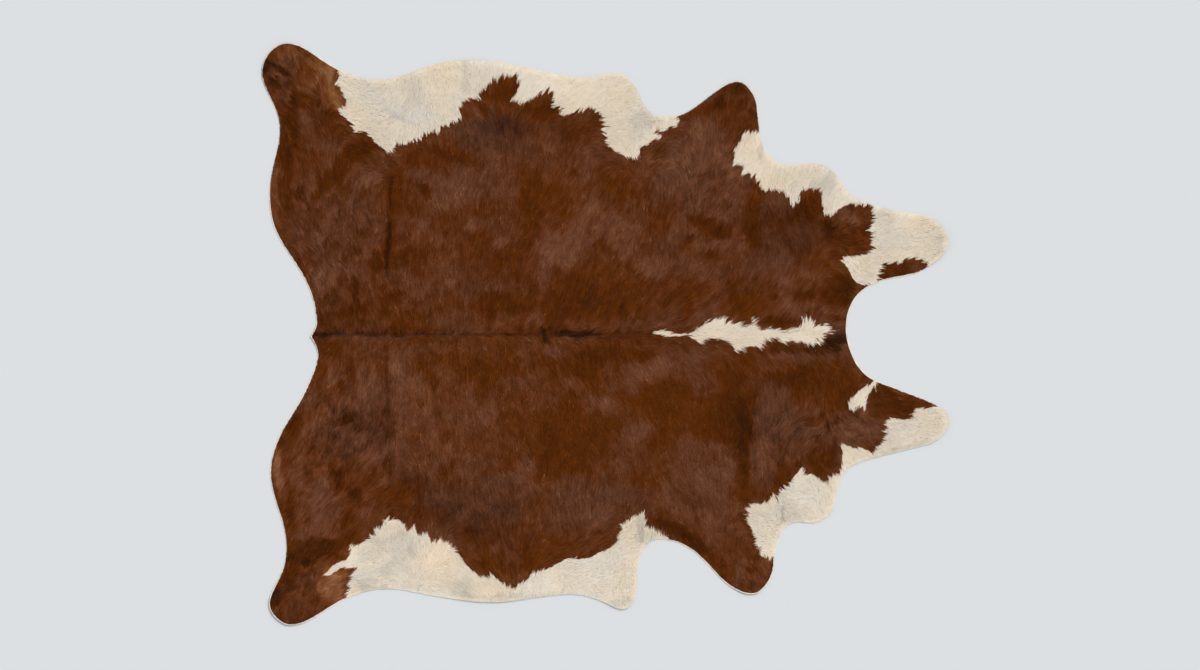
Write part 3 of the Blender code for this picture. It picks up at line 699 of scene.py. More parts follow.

# Grey and rosy skin that shows faintly through white hair, with a few rows of
# painted shade: the same columns, with warmer in place of sheen.
TINTS = (
    ("belly_left_grey", -660, 812, 44, 80, -8, -0.3, -0.04),
    ("belly_left_grey_b", -700, 745, 80, 27, -28, -0.3, -0.028),
    ("belly_left_grey_c", -760, 832, 54, 47, 20, -0.15, -0.012),
    ("belly_left_ivory", -834, 732, 60, 40, -60, 0.5, 0.006),
    ("belly_left_ivory_b", -553, 812, 54, 67, 0, 0.35, 0.004),
    ("belly_left_cool", -620, 719, 60, 27, 20, -0.4, 0.0),
    ("belly_left_line", -693, 732, 60, 10, -30, -0.3, -0.03),
    # painted shade along the belly tuck fold, in the next two rows
    ("belly_left_seam", -466, 913, 34, 20, 90, 0.1, -0.035),
    ("belly_left_fold", -466, 853, 60, 13, 90, -0.2, -0.035),
    ("belly_top_cream", -218, 899, 134, 23, 0, 0.5, 0.0),
    ("belly_top_grey", -30, 873, 47, 30, 0, -0.4, -0.01),
    ("elbow_left_grey", 137, 725, 37, 67, -20, -0.4, -0.045),
    ("elbow_left_grey_b", 97, 812, 34, 54, -30, -0.2, -0.025),
    ("elbow_left_ivory", 44, 786, 40, 67, 0, 0.4, 0.0),
    ("shoulder_left_grey", 740, 531, 40, 74, -25, -0.3, -0.05),
    ("shoulder_left_cool", 647, 464, 54, 34, 0, -0.35, 0.0),
    ("shoulder_left_ivory", 553, 524, 67, 34, 0, 0.3, 0.0),
    ("armpit_left_grey", 526, 618, 40, 17, 90, -0.3, -0.07),
    ("throat_left_grey", 941, 397, 34, 40, 0, -0.3, -0.045),
    ("throat_left_grey_b", 975, 330, 67, 40, 0, -0.4, -0.015),
    ("throat_left_ivory", 1062, 377, 54, 34, 0, 0.35, 0.0),
    ("throat_left_tip", 1129, 317, 60, 20, 90, -0.1, -0.025),
    ("throat_left_under", 874, 256, 47, 23, -40, 0.3, 0.0),
    ("belly_right_grey", -687, -709, 60, 54, -20, -0.5, -0.045),
    ("belly_right_grey_b", -781, -742, 54, 44, 0, -0.15, -0.038),
    ("belly_right_grey_c", -693, -789, 60, 34, 0, -0.3, -0.03),
    ("belly_right_marble", -740, -802, 34, 20, 0, -0.2, -0.035),
    ("belly_right_marble_b", -653, -742, 27, 23, 60, -0.2, -0.03),
    ("belly_right_marble_c", -814, -836, 34, 17, 0, -0.1, -0.03),
    ("belly_right_marble_d", -754, -688, 27, 20, 0, -0.2, -0.03),
    ("belly_right_marble_e", -693, -675, 34, 17, 20, -0.1, -0.02),
    ("belly_right_light", -727, -749, 23, 17, 0, 0.2, 0.03),
    ("belly_right_light_b", -868, -755, 40, 40, 0, 0.2, 0.012),
    ("belly_right_cream", -566, -742, 50, 47, 0, 0.75, 0.0),
    ("belly_right_cool", -606, -675, 50, 23, -20, -0.5, 0.0),
    ("belly_right_grey_d", -466, -856, 54, 47, 80, -0.15, -0.065),
    ("belly_right_pink", -533, -822, 47, 40, 70, 0.3, -0.01),
    ("belly_right_cream_b", -352, -849, 87, 27, 0, 0.4, 0.0),
    ("belly_right_cool_b", -251, -843, 94, 30, 10, -0.3, -0.004),
    ("belly_right_ivory", -848, -675, 54, 47, -50, 0.5, 0.0),
    ("belly_right_cool_c", -827, -816, 60, 27, 0, -0.45, -0.006),
    ("elbow_right_mauve", 117, -648, 60, 17, 85, -0.6, -0.08),
    ("elbow_right_mauve_b", 144, -688, 30, 27, 0, -0.5, -0.045),
    ("elbow_right_cool", -17, -755, 94, 54, 20, -0.35, 0.0),
    ("elbow_right_cream", 44, -856, 60, 40, 0, 0.2, -0.01),
    # painted shade along the lower cut edges, in the next four rows
    ("belly_right_edge", -285, -879, 234, 13, 0, -0.1, -0.05),
    ("leg_edge_grey", -770, -856, 67, 17, 0, -0.2, -0.06),
    ("elbow_right_edge", 57, -903, 54, 17, 0, -0.1, -0.055),
    ("throat_right_edge", 1005, -387, 114, 13, 16, -0.1, -0.055),
    ("throat_right_cool", 955, -327, 80, 40, 12, -0.35, -0.006),
    ("throat_right_cream", 1089, -300, 47, 40, 0, 0.35, 0.0),
    ("shoulder_right_grey", 603, -595, 80, 40, 0, -0.4, -0.03),
    ("shoulder_right_cool", 673, -521, 60, 47, 0, -0.4, -0.004),
    ("shoulder_right_cream", 566, -541, 34, 40, 0, 0.3, 0.0),
    ("foreleg_right_cool", 519, -655, 40, 47, 0, -0.3, 0.0),
)

# Thin lines of painted shade in the coat, dark where hair parts over a crease,
# fold or wrinkle, with a few painted lighter edges beside a crease: both ends,
# half the width, how much lighter, and how broken.
LINE_COLUMNS = ("line", "x0", "y0", "x1", "y1", "half_width", "lighter", "broken")
LINES = (
    ("spine_rump_wide", -978, 12, -714, 12, 18, -0.055, 0.1),
    ("spine_rump", -978, 2, -734, 2, 9, -0.17, 0.15),
    ("spine_loin", -734, 2, -214, 0, 5, -0.1, 0.25),
    ("spine_loin_b", -620, 18, -234, 15, 4, -0.05, 0.4),
    ("spine_loin_c", -670, -12, -352, -12, 3, 0.04, 0.4),
    ("knot_wide", -214, 12, -17, 2, 14, -0.06, 0.1),
    ("knot_a", -208, 22, -204, -25, 7, -0.2, 0.1),
    ("knot_a_top", -218, 22, -168, 18, 6, -0.14, 0.2),
    ("knot_b", -174, 5, -147, 2, 9, -0.2, 0.1),
    ("knot_c", -144, 5, -111, 5, 10, -0.22, 0.05),
    ("knot_c_top", -157, 18, -121, 18, 5, -0.1, 0.2),
    ("knot_d", -97, -2, -44, 5, 13, -0.24, 0.02),
    ("knot_e", -131, -5, -77, -8, 6, -0.14, 0.2),
    ("spine_back", -50, 2, 168, 5, 4, -0.1, 0.25),
    ("spine_back_b", -23, -12, 151, -5, 5, -0.06, 0.4),
    ("spine_neck", 747, -18, 821, -22, 14, -0.14, 0.3),
    ("spine_neck_b", 693, -42, 760, -28, 8, -0.1, 0.3),
    ("press_left_top", -714, 585, -717, 484, 10, -0.045, 0.3),
    ("press_left", -717, 524, -720, 330, 10, -0.085, 0.25),
    ("press_left_mid", -724, 370, -734, 206, 11, -0.15, 0.1),
    ("press_left_side", -760, 518, -764, 283, 6, 0.03, 0.4),
    ("press_left_faint", -730, 223, -734, 15, 5, -0.04, 0.5),
    ("press_right", -737, -35, -724, -286, 8, -0.045, 0.3),
    ("press_right_low", -724, -320, -717, -605, 6, -0.05, 0.5),
    ("pleat_right", 596, -571, 596, -628, 8, -0.14, 0.3),
    ("wrinkle_belly", -472, 906, -452, 806, 3, -0.07, 0.3),
    ("wrinkle_belly_end", -117, 859, -100, 819, 4, -0.14, 0.6),
    ("wrinkle_elbow", 117, 786, 121, 692, 4, -0.06, 0.3),
    ("wrinkle_leg", -747, -832, -740, -863, 5, -0.1, 0.2),
    ("wrinkle_throat_a", 945, 407, 955, 380, 2, -0.12, 0.3),
    ("wrinkle_throat_b", 958, 410, 965, 377, 2, -0.12, 0.3),
    ("streak_in_stripe", 586, 5, 673, 15, 3, -0.26, 0.2),
    ("tail_pinch", -988, -5, -921, -5, 12, -0.14, 0.2),
    ("rump_curl_a", -894, -310, -848, -290, 4, -0.09, 0.1),
    ("rump_curl_b", -848, -290, -801, -323, 4, -0.09, 0.1),
    ("rump_curl_c", -871, -246, -864, -286, 4, -0.07, 0.2),
    ("rump_curl_d", -1015, -414, -1002, -461, 4, -0.08, 0.2),
    ("rump_curl_e", -961, -353, -921, -380, 4, -0.06, 0.3),
    ("rump_curl_f", -935, -126, -941, -179, 4, -0.05, 0.3),
    ("rump_curl_g", -888, -92, -848, -126, 4, -0.06, 0.3),
    ("fan_curl_a", 693, -193, 747, -233, 4, -0.06, 0.2),
    ("fan_curl_b", 653, -394, 693, -374, 4, -0.05, 0.3),
    ("fan_curl_c", 620, -226, 667, -260, 4, -0.04, 0.3),
    ("curl_line_a", 291, 531, 365, 544, 5, -0.09, 0.2),
    ("curl_line_b", 238, 484, 291, 528, 5, -0.09, 0.2),
    ("curl_line_c", 285, 454, 365, 491, 5, -0.08, 0.2),
    ("curl_line_d", 198, 457, 258, 417, 5, -0.06, 0.3),
    ("curl_line_e", 231, 347, 318, 313, 6, -0.07, 0.3),
    ("curl_line_f", 151, 501, 198, 461, 5, -0.05, 0.3),
    ("whorl_line", 750, -303, 781, -286, 12, -0.12, 0.1),
    ("whorl_line_b", 781, -286, 854, -260, 7, -0.06, 0.2),
    ("whorl_line_c", 673, -253, 747, -293, 5, -0.07, 0.3),
    ("whorl_line_d", 693, -347, 754, -320, 5, -0.07, 0.3),
    ("whorl_line_e", 673, 451, 673, 377, 5, -0.05, 0.4),
    ("fan_edge", 506, -173, 489, -320, 5, -0.06, 0.15),
    ("fan_edge_b", 489, -320, 506, -454, 5, -0.05, 0.2),
)

# Hair where white and brown lie mixed: the line's ends and half its width.
MIXED = (
    ("stripe_front", 320, 10, 760, 5, 85),
)

# Where the pale cut of the skin shows beside the hair: middle, reach, amount.
BARE_RIM = (
    ("neck_gap", 850, 10, 190, 1.0),
    ("throat_left_under", 960, 185, 90, 0.8),
    ("foreleg_right", 370, -800, 210, 0.9),
    ("foreleg_left", 470, 800, 110, 0.5),
    ("rump_left", -1060, 280, 260, 0.7),
    ("rump_right", -1060, -380, 300, 0.6),
    ("tail", -980, 0, 90, 0.5),
    ("leg_left", -1120, 850, 150, 0.3),
    ("leg_left_front", -980, 920, 110, 0.8),
    ("leg_right", -1080, -900, 160, 0.6),
    ("leg_right_front", -940, -920, 90, 1.0),
)

# Hair colours by tone: 0 to 0.68 are the browns, 0.72 to 1 the white hair.
# The first scale gives the browns with painted sheen and the greyer whites, the
# second the deep browns without sheen and the warmer whites.
SHEEN_BROWN_GREY_WHITE_HAIR = (
    (0.00, (0.018, 0.0070, 0.0042)), (0.12, (0.051, 0.0178, 0.0104)), (0.24, (0.106, 0.0402, 0.0222)),
    (0.36, (0.180, 0.0705, 0.0378)), (0.48, (0.280, 0.1270, 0.0640)), (0.60, (0.380, 0.2020, 0.1120)),
    (0.68, (0.440, 0.2600, 0.1640)), (0.72, "989289"), (0.80, "bcb4a9"), (0.88, "d6cec2"),
    (0.94, "e3dbce"), (1.00, "f2ece1"))
WARM_HAIR = (
    (0.00, (0.014, 0.0032, 0.0002)), (0.12, (0.046, 0.0090, 0.0007)), (0.24, (0.0915, 0.0196, 0.0012)),
    (0.36, (0.1548, 0.0340, 0.0024)), (0.48, (0.240, 0.0880, 0.0210)), (0.60, (0.330, 0.1620, 0.0600)),
    (0.68, (0.390, 0.2200, 0.0960)), (0.72, "a08d6e"), (0.80, "c7b599"), (0.88, "e0ceb2"),
    (0.94, "eddbc2"), (1.00, "f8ebd6"))

# Studio: floor colour, fill of the whole room and the soft key light.
FLOOR = (0.631, 0.645, 0.655, 1.0)
FILL = 0.66
KEY = 2.2

# ---------------------------------------------------------------- outline
def side(table, step):
    """Evenly spaced points along one side, through its landmarks."""
    t = np.arange(40)[:, None] / 40
    fine = []
    for (_, x0, y0, h0), (_, x1, y1, h1) in zip(table, table[1:]):
        a, b = np.array((x0, y0), float), np.array((x1, y1), float)
        reach = np.hypot(*(b - a))
        ta = np.array((math.cos(math.radians(h0)), math.sin(math.radians(h0)))) * reach
        tb = np.array((math.cos(math.radians(h1)), math.sin(math.radians(h1)))) * reach
        fine.append((2 * t**3 - 3 * t**2 + 1) * a + (t**3 - 2 * t**2 + t) * ta
                    + (3 * t**2 - 2 * t**3) * b + (t**3 - t**2) * tb)
    fine.append(np.array([table[-1][1:3]], float))
    fine = np.concatenate(fine)
    run = np.concatenate([[0.0], np.cumsum(np.hypot(*np.diff(fine, axis=0).T))])
    want = np.linspace(0, run[-1], max(2, round(run[-1] / (step * 1000))) + 1)
    return np.stack([np.interp(want, run, fine[:, 0]), np.interp(want, run, fine[:, 1])], 1)


def pattern_ring(step):
    """The whole cut edge as one closed ring, clockwise from the tail."""
    left, right = side(LEFT_EDGE, step), side(RIGHT_EDGE, step)
    return np.concatenate([left, right[-2:0:-1]])


PATTERN = pattern_ring(PATTERN_STEP)
SCALE = HIDE_LENGTH / (PATTERN[:, 0].max() - PATTERN[:, 0].min())
MIDDLE = (PATTERN.max(0) + PATTERN.min(0)) / 2


def on_hide(xy):
    """Places on the pattern, in millimetres, as places on the hide."""
    return (np.asarray(xy, float) - MIDDLE) * SCALE


def signed_distance(x, y, ring):
    """Distance to a closed ring, positive inside it."""
    ax, ay = ring[:, 0], ring[:, 1]
    bx, by = np.roll(ax, -1), np.roll(ay, -1)
    abx, aby = bx - ax, by - ay
    over = 1.0 / np.maximum(abx * abx + aby * aby, 1e-14)
    slope = abx / np.where(np.abs(aby) < 1e-12, 1e-12, aby)
    out = np.empty(len(x))
    for s in range(0, len(x), 4096):
        px, py = x[s:s + 4096, None], y[s:s + 4096, None]
        t = np.clip(((px - ax) * abx + (py - ay) * aby) * over, 0, 1)
        d2 = (px - ax - t * abx) ** 2 + (py - ay - t * aby) ** 2
        hit = ((ay > py) != (by > py)) & (px < ax + (py - ay) * slope)
        sign = np.where(hit.sum(1) % 2 == 1, 1.0, -1.0)
        out[s:s + 4096] = sign * np.sqrt(d2.min(1))
    return out


# ----------------------------------------------------------------- fields
LOW, HIGH = np.array((-1.21, -1.03)), np.array((1.21, 1.03))


class Field:
    """Values on a grid over the hide, read between the grid's points."""

    def __init__(self, values, step, low=LOW):
        self.v, self.step, self.low = np.asarray(values, float), step, low

    def __call__(self, x, y):
        u = np.clip((x - self.low[0]) / self.step, 0, self.v.shape[1] - 1.001)
        w = np.clip((y - self.low[1]) / self.step, 0, self.v.shape[0] - 1.001)
        i, j = u.astype(int), w.astype(int)
        u, w = u - i, w - j
        v = self.v
        return ((v[j, i] * (1 - u) + v[j, i + 1] * u) * (1 - w)
                + (v[j + 1, i] * (1 - u) + v[j + 1, i + 1] * u) * w)


def grid(step, low=LOW, high=HIGH):
    gx = np.arange(low[0], high[0] + step, step)
    gy = np.arange(low[1], high[1] + step, step)
    return np.meshgrid(gx, gy)


def distance_field(ring, step, low=LOW, high=HIGH):
    x, y = grid(step, low, high)
    return Field(signed_distance(x.ravel(), y.ravel(), ring).reshape(x.shape), step, low)


def noise(span, seed, octaves=3):
    """Soft random unevenness, about -1 to 1, of the given size."""
    rng = np.random.default_rng(seed)
    layers = []
    for k in range(octaves):
        step = span / 2 ** k
        x, y = grid(step)
        layers.append((Field(rng.uniform(-1, 1, (x.shape[0] + 2, x.shape[1] + 2)), step,
                             LOW - step * rng.uniform(0, 1)), 0.55 ** k))

    def at(x, y):
        total = 0.0
        for f, amount in layers:
            total = total + f(x, y) * amount
        return total * 1.35
    return at


def soft(t):
    """One at 0, nothing at 1 and beyond, with a level start and end."""
    return np.where(t >= 1, 0.0, 0.5 + 0.5 * np.cos(np.pi * np.minimum(t, 1.0)))


def smooth(a, b, x):
    t = np.clip((x - a) / (b - a), 0, 1)
    return t * t * (3 - 2 * t)


RING = (pattern_ring(RIM_STEP) - MIDDLE) * SCALE
EDGE = distance_field((pattern_ring(0.010) - MIDDLE) * SCALE, 0.006)

# ------------------------------------------------------------ hair growth
_rows = np.array([row for region in HAIR_WAY.values() for row in region], float)
_at = on_hide(_rows[:, :2])
_way = np.radians(_rows[:, 2])
_x, _y = grid(0.012)
_fx, _fy = np.zeros(_x.shape), np.zeros(_x.shape)
for (_px, _py), _a in zip(_at, _way):
    _w = 1.0 / ((_x - _px) ** 2 + (_y - _py) ** 2 + 0.020 ** 2) ** 1.6
    _fx += _w * math.cos(_a)
    _fy += _w * math.sin(_a)
_n = np.hypot(_fx, _fy) + 1e-12
_wander = noise(0.11, 11, 3)(_x, _y)
_curly = noise(0.030, 12, 2)(_x, _y)
_curls = np.zeros(_x.shape)
for _, _cx, _cy, _reach, _amount in CURLY:
    _q = on_hide((_cx, _cy))
    _curls = np.maximum(_curls, _amount * soft(np.hypot(_x - _q[0], _y - _q[1]) / (_reach / 1000)))
_turn = np.radians(11 * _wander + 46 * _curls * _curly)
FLOW_X = Field((_fx * np.cos(_turn) - _fy * np.sin(_turn)) / _n, 0.012)
FLOW_Y = Field((_fx * np.sin(_turn) + _fy * np.cos(_turn)) / _n, 0.012)


def flow(x, y):
    fx, fy = FLOW_X(x, y), FLOW_Y(x, y)
    n = np.hypot(fx, fy) + 1e-9
    return fx / n, fy / n


def combed(step, reach, seed):
    """Random unevenness combed out along the hair, mean 0 and spread 1."""
    rng = np.random.default_rng(seed)
    gx, gy = grid(step)
    raw = Field(rng.uniform(-1, 1, gx.shape), step)
    total = raw.v.copy()
    for way in (1, -1):
        x, y = gx.copy(), gy.copy()
        for _ in range(reach):
            fx, fy = flow(x, y)
            x, y = x + way * fx * step, y + way * fy * step
            total += raw(x, y)
    total -= total.mean()
    return Field(total / total.std(), step)


FINE = combed(0.0026, 5, 21)
TUFTS = combed(0.0042, 3, 22)
BROAD = combed(0.0085, 5, 23)


# --------------------------------------------------------------- markings
def closed(points):
    return on_hide(points)


class Patch:
    """One patch of white hair: distance inside its boundary, capped."""

    def __init__(self, points, reach=0.060, step=0.0025):
        ring = closed(points)
        low, high = ring.min(0) - reach, ring.max(0) + reach
        low, high = np.maximum(low, LOW), np.minimum(high, HIGH)
        self.reach, self.low, self.high = reach, low, high
        self.field = distance_field(ring, step, low, high)

    def __call__(self, x, y):
        inbox = ((x > self.low[0]) & (x < self.high[0])
                 & (y > self.low[1]) & (y < self.high[1]))
        return np.where(inbox, np.maximum(self.field(x, y), -self.reach), -self.reach)


WHITE = {name: Patch(points) for name, points in MARKINGS.items()}
BROWN_SPOT = Patch(SPOT)


def whiteness(x, y):
    """How far inside white hair a place is, negative in the brown."""
    deep = None
    for patch in WHITE.values():
        d = patch(x, y)
        deep = d if deep is None else np.maximum(deep, d)
    return np.minimum(deep, -BROWN_SPOT(x, y))


# ----------------------------------------------------------------- relief
def press(x, y):
    deep = np.zeros(np.shape(x))
    for _, x0, y0, x1, y1, half, depth, stray in FOLDS:
        a, b = on_hide((x0, y0)), on_hide((x1, y1))
        ab = b - a
        length = np.hypot(*ab)
        nx, ny = -ab[1] / length, ab[0] / length
        t = np.clip(((x - a[0]) * ab[0] + (y - a[1]) * ab[1]) / length**2, 0, 1)
        sway = stray / 1000 * np.sin(2.2 * np.pi * t) * np.sin(np.pi * t)
        off = np.hypot(x - a[0] - ab[0] * t - nx * sway, y - a[1] - ab[1] * t - ny * sway)
        deep = np.maximum(deep, depth / 1000 * soft(off / (half / 1000)))
    return deep


def curl(x, y):
    high = np.zeros(np.shape(x))
    for _, cx, cy, reach, height in CURLS:
        c = on_hide((cx, cy))
        high = np.maximum(high, height / 1000 * soft(np.hypot(x - c[0], y - c[1]) / (reach / 1000)))
    return high


def swell(x, y):
    w = 2 * math.pi / SWELL_SPAN
    return SWELL * (np.sin(w * x + 0.7 * np.sin(w * 0.6 * y))
                    * np.cos(w * 0.8 * y + 1.1 * np.sin(w * 0.5 * x)))


def coat_height(x, y, edge):
    """Height of the flattened coat over the leather."""
    full = COAT + swell(x, y) - press(x, y)
    thin = RIM_HEIGHT - LEATHER
    return thin + (full - thin) * (1 - soft(np.maximum(edge, 0) / RIM_BAND))


# ------------------------------------------------------------------ shade
WARP_X, WARP_Y = noise(0.055, 31, 4), noise(0.055, 32, 4)


def blot(rows, x, y):
    """Sums of the charted soft changes, with feathered, wandering edges."""
    first, second = np.zeros(np.shape(x)), np.zeros(np.shape(x))
    wx, wy = WARP_X(x, y), WARP_Y(x, y)
    for _, cx, cy, along, across, angle, a, b in rows:
        c = on_hide((cx, cy))
        ca, sa = math.cos(math.radians(angle)), math.sin(math.radians(angle))
        shake = min(0.022, min(along, across) / 1000 * 0.45)
        reach = max(along, across) / 1000 * 1.25 + 0.035
        k = np.flatnonzero((np.abs(x - c[0]) < reach) & (np.abs(y - c[1]) < reach))
        px, py = x[k] - c[0] + shake * wx[k], y[k] - c[1] + shake * wy[k]
        u = (px * ca + py * sa) / (along / 1000)
        v = (-px * sa + py * ca) / (across / 1000)
        w = 1 - smooth(0.52, 1.25, np.hypot(u, v))
        first[k] += a * w
        second[k] += b * w
    return first, second


def painted_shade_lines(x, y):
    """Sum of the charted thin lines of painted shade: how much lighter."""
    total = np.zeros(np.shape(x))
    gaps = noise(0.022, 33, 2)(x, y)
    for k, (_, x0, y0, x1, y1, half, light, broken) in enumerate(LINES):
        a, b = on_hide((x0, y0)), on_hide((x1, y1))
        ab = b - a
        length = np.hypot(*ab)
        t = np.clip(((x - a[0]) * ab[0] + (y - a[1]) * ab[1]) / length**2, 0, 1)
        sway = (0.0018 * np.sin(9 * t * length / 0.12 + 2.1 * k)
                + 0.0012 * np.sin(23 * t * length / 0.12 + k))
        off = np.hypot(x - a[0] - ab[0] * t + ab[1] / length * sway,
                       y - a[1] - ab[1] * t - ab[0] / length * sway)
        total += light * soft(off / (half / 1000 * 1.4)) * np.clip(1 - broken * (0.5 + gaps), 0, 1)
    return total


MOTTLE = noise(0.075, 41, 5)
MOTTLE_FINE = noise(0.017, 42, 3)
MOTTLE_BIG = noise(0.24, 44, 2)
CLOUD = noise(0.14, 43, 5)
SWIRL = noise(0.034, 45, 2)
SWIRL_B = noise(0.026, 46, 2)
CURLS_AT = Field(_curls, 0.012)


def spots(rows, x, y):
    """Soft round regions, summed."""
    total = np.zeros(np.shape(x))
    for _, cx, cy, reach, amount in rows:
        c = on_hide((cx, cy))
        total += amount * soft(np.hypot(x - c[0], y - c[1]) / (reach / 1000))
    return total


SLEEK_AT = Field(spots(SLEEK, *grid(0.012)), 0.012)


def curl_parting_shade(x, y):
    """Thin curved partings where the hair is curly, 0 to 1, darkened as painted shade."""
    a = np.exp(-(SWIRL(x, y) / 0.17) ** 2)
    b = np.exp(-(SWIRL_B(x, y) / 0.14) ** 2)
    return np.clip(a * smooth(-0.2, 0.5, SWIRL_B(x, y)) + 0.7 * b * smooth(0.0, 0.6, SWIRL(x, y)), 0, 1)


def coat_colour(x, y, white):
    """Tone and warmth of the hair at a place, before a lock's own spread; in the browns the warmth carries painted
    sheen, and the tone painted sheen and painted shade besides the hair's own colour.
    """
    sheen, light = blot(SHADES, x, y)
    fine, tuft, broad = FINE(x, y), TUFTS(x, y), BROAD(x, y)
    cloud, fleck = MOTTLE(x, y), MOTTLE_FINE(x, y)
    # painted sheen of the combed brown hair: rosier and a little lighter where it would catch the light
    painted_sheen = np.tanh(1.15 * (sheen + 0.30 * CLOUD(x, y) + 0.30 * cloud + 0.22 * fleck + 0.06 * broad + 0.05 * fine))
    # painted shade in the partings between curls
    curly = CURLS_AT(x, y) * curl_parting_shade(x, y)
    rough = 1 + 0.6 * CURLS_AT(x, y) - SLEEK_AT(x, y)
    # darker within about 11 mm of the cut: thinner hair there, with painted shade
    rim = soft(np.maximum(EDGE(x, y), 0) / 0.011)
    brown = (0.301 + light + painted_shade_lines(x, y) + 0.012 * painted_sheen - 0.120 * curly - 0.050 * rim
             + rough * (0.017 * fine + 0.015 * tuft + 0.008 * broad + 0.012 * cloud + 0.031 * fleck))
    brown_sheen_hue = 0.72 - 0.52 * painted_sheen
    warm, light = blot(TINTS, x, y)
    cream = (0.918 + light + 0.6 * painted_shade_lines(x, y) + 0.006 * fine + 0.006 * broad
             + 0.014 * cloud + 0.012 * MOTTLE_BIG(x, y))
    cream_hue = 0.53 + 0.65 * warm + 0.17 * CLOUD(x, y)
    tone = np.where(white, np.clip(cream, 0.74, 0.985), np.clip(brown, 0.06, 0.62))
    return tone, np.where(white, cream_hue, brown_sheen_hue)


# --------------------------------------------------------------- geometry
def new_mesh(name, co, faces):
    """A mesh of triangles from arrays."""
    mesh = bpy.data.meshes.new(name)
    mesh.vertices.add(len(co))
    mesh.vertices.foreach_set("co", np.ascontiguousarray(co, np.float32).ravel())
    mesh.loops.add(faces.size)
    mesh.loops.foreach_set("vertex_index", np.ascontiguousarray(faces, np.int32).ravel())
    mesh.polygons.add(len(faces))
    mesh.polygons.foreach_set("loop_start", np.arange(0, faces.size, 3, dtype=np.int32))
    mesh.update(calc_edges=True)
    return mesh


def set_uv(mesh, uv):
    """The map that carries the coat's palette or the hide's layout."""
    layer = mesh.uv_layers.new(name="OFBake")
    layer.uv.foreach_set("vector", np.ascontiguousarray(uv, np.float32).ravel())


def set_value(mesh, name, values):
    att = mesh.attributes.new(name, "FLOAT", "POINT")
    att.data.foreach_set("value", np.ascontiguousarray(values, np.float32))


def place(mesh):
    obj = bpy.data.objects.new(mesh.name, mesh)
    bpy.context.scene.collection.objects.link(obj)
    return obj


def ring_normals(ring):
    """Outward normals along the clockwise ring."""
    along = np.roll(ring, -2, 0) - np.roll(ring, 2, 0)
    along /= np.hypot(along[:, 0], along[:, 1])[:, None]
    return np.stack([-along[:, 1], along[:, 0]], 1)


def lattice(step, jitter, seed):
    """A staggered field of places over the hide's box."""
    rng = np.random.default_rng(seed)
    xs = np.arange(-1.18, 1.18, step)
    ys = np.arange(-1.0, 1.0, step * math.sqrt(3) / 2)
    x, y = np.meshgrid(xs, ys)
    x = x + (np.arange(len(ys)) % 2)[:, None] * step / 2
    x, y = x.ravel(), y.ravel()
    x = x + rng.uniform(-jitter, jitter, len(x)) * step
    y = y + rng.uniform(-jitter, jitter, len(y)) * step
    return x, y


def skin(ring, inner, places):
    """Triangles over the ring, a second row inside it and the places."""
    n = len(ring)
    coords = [tuple(p) for p in np.concatenate([ring, inner, places])]
    rim = [(i, (i + 1) % n) for i in range(n)]
    verts, _, faces, _, _, _ = delaunay_2d_cdt(coords, rim, [], 1, 1e-8)
    co = np.array([(v.x, v.y) for v in verts])
    tri = np.array([f for f in faces if len(f) == 3], int)
    a, b, c = co[tri[:, 0]], co[tri[:, 1]], co[tri[:, 2]]
    turn = (b[:, 0] - a[:, 0]) * (c[:, 1] - a[:, 1]) - (b[:, 1] - a[:, 1]) * (c[:, 0] - a[:, 0])
    tri[turn < 0] = tri[turn < 0][:, ::-1]
    return co, tri


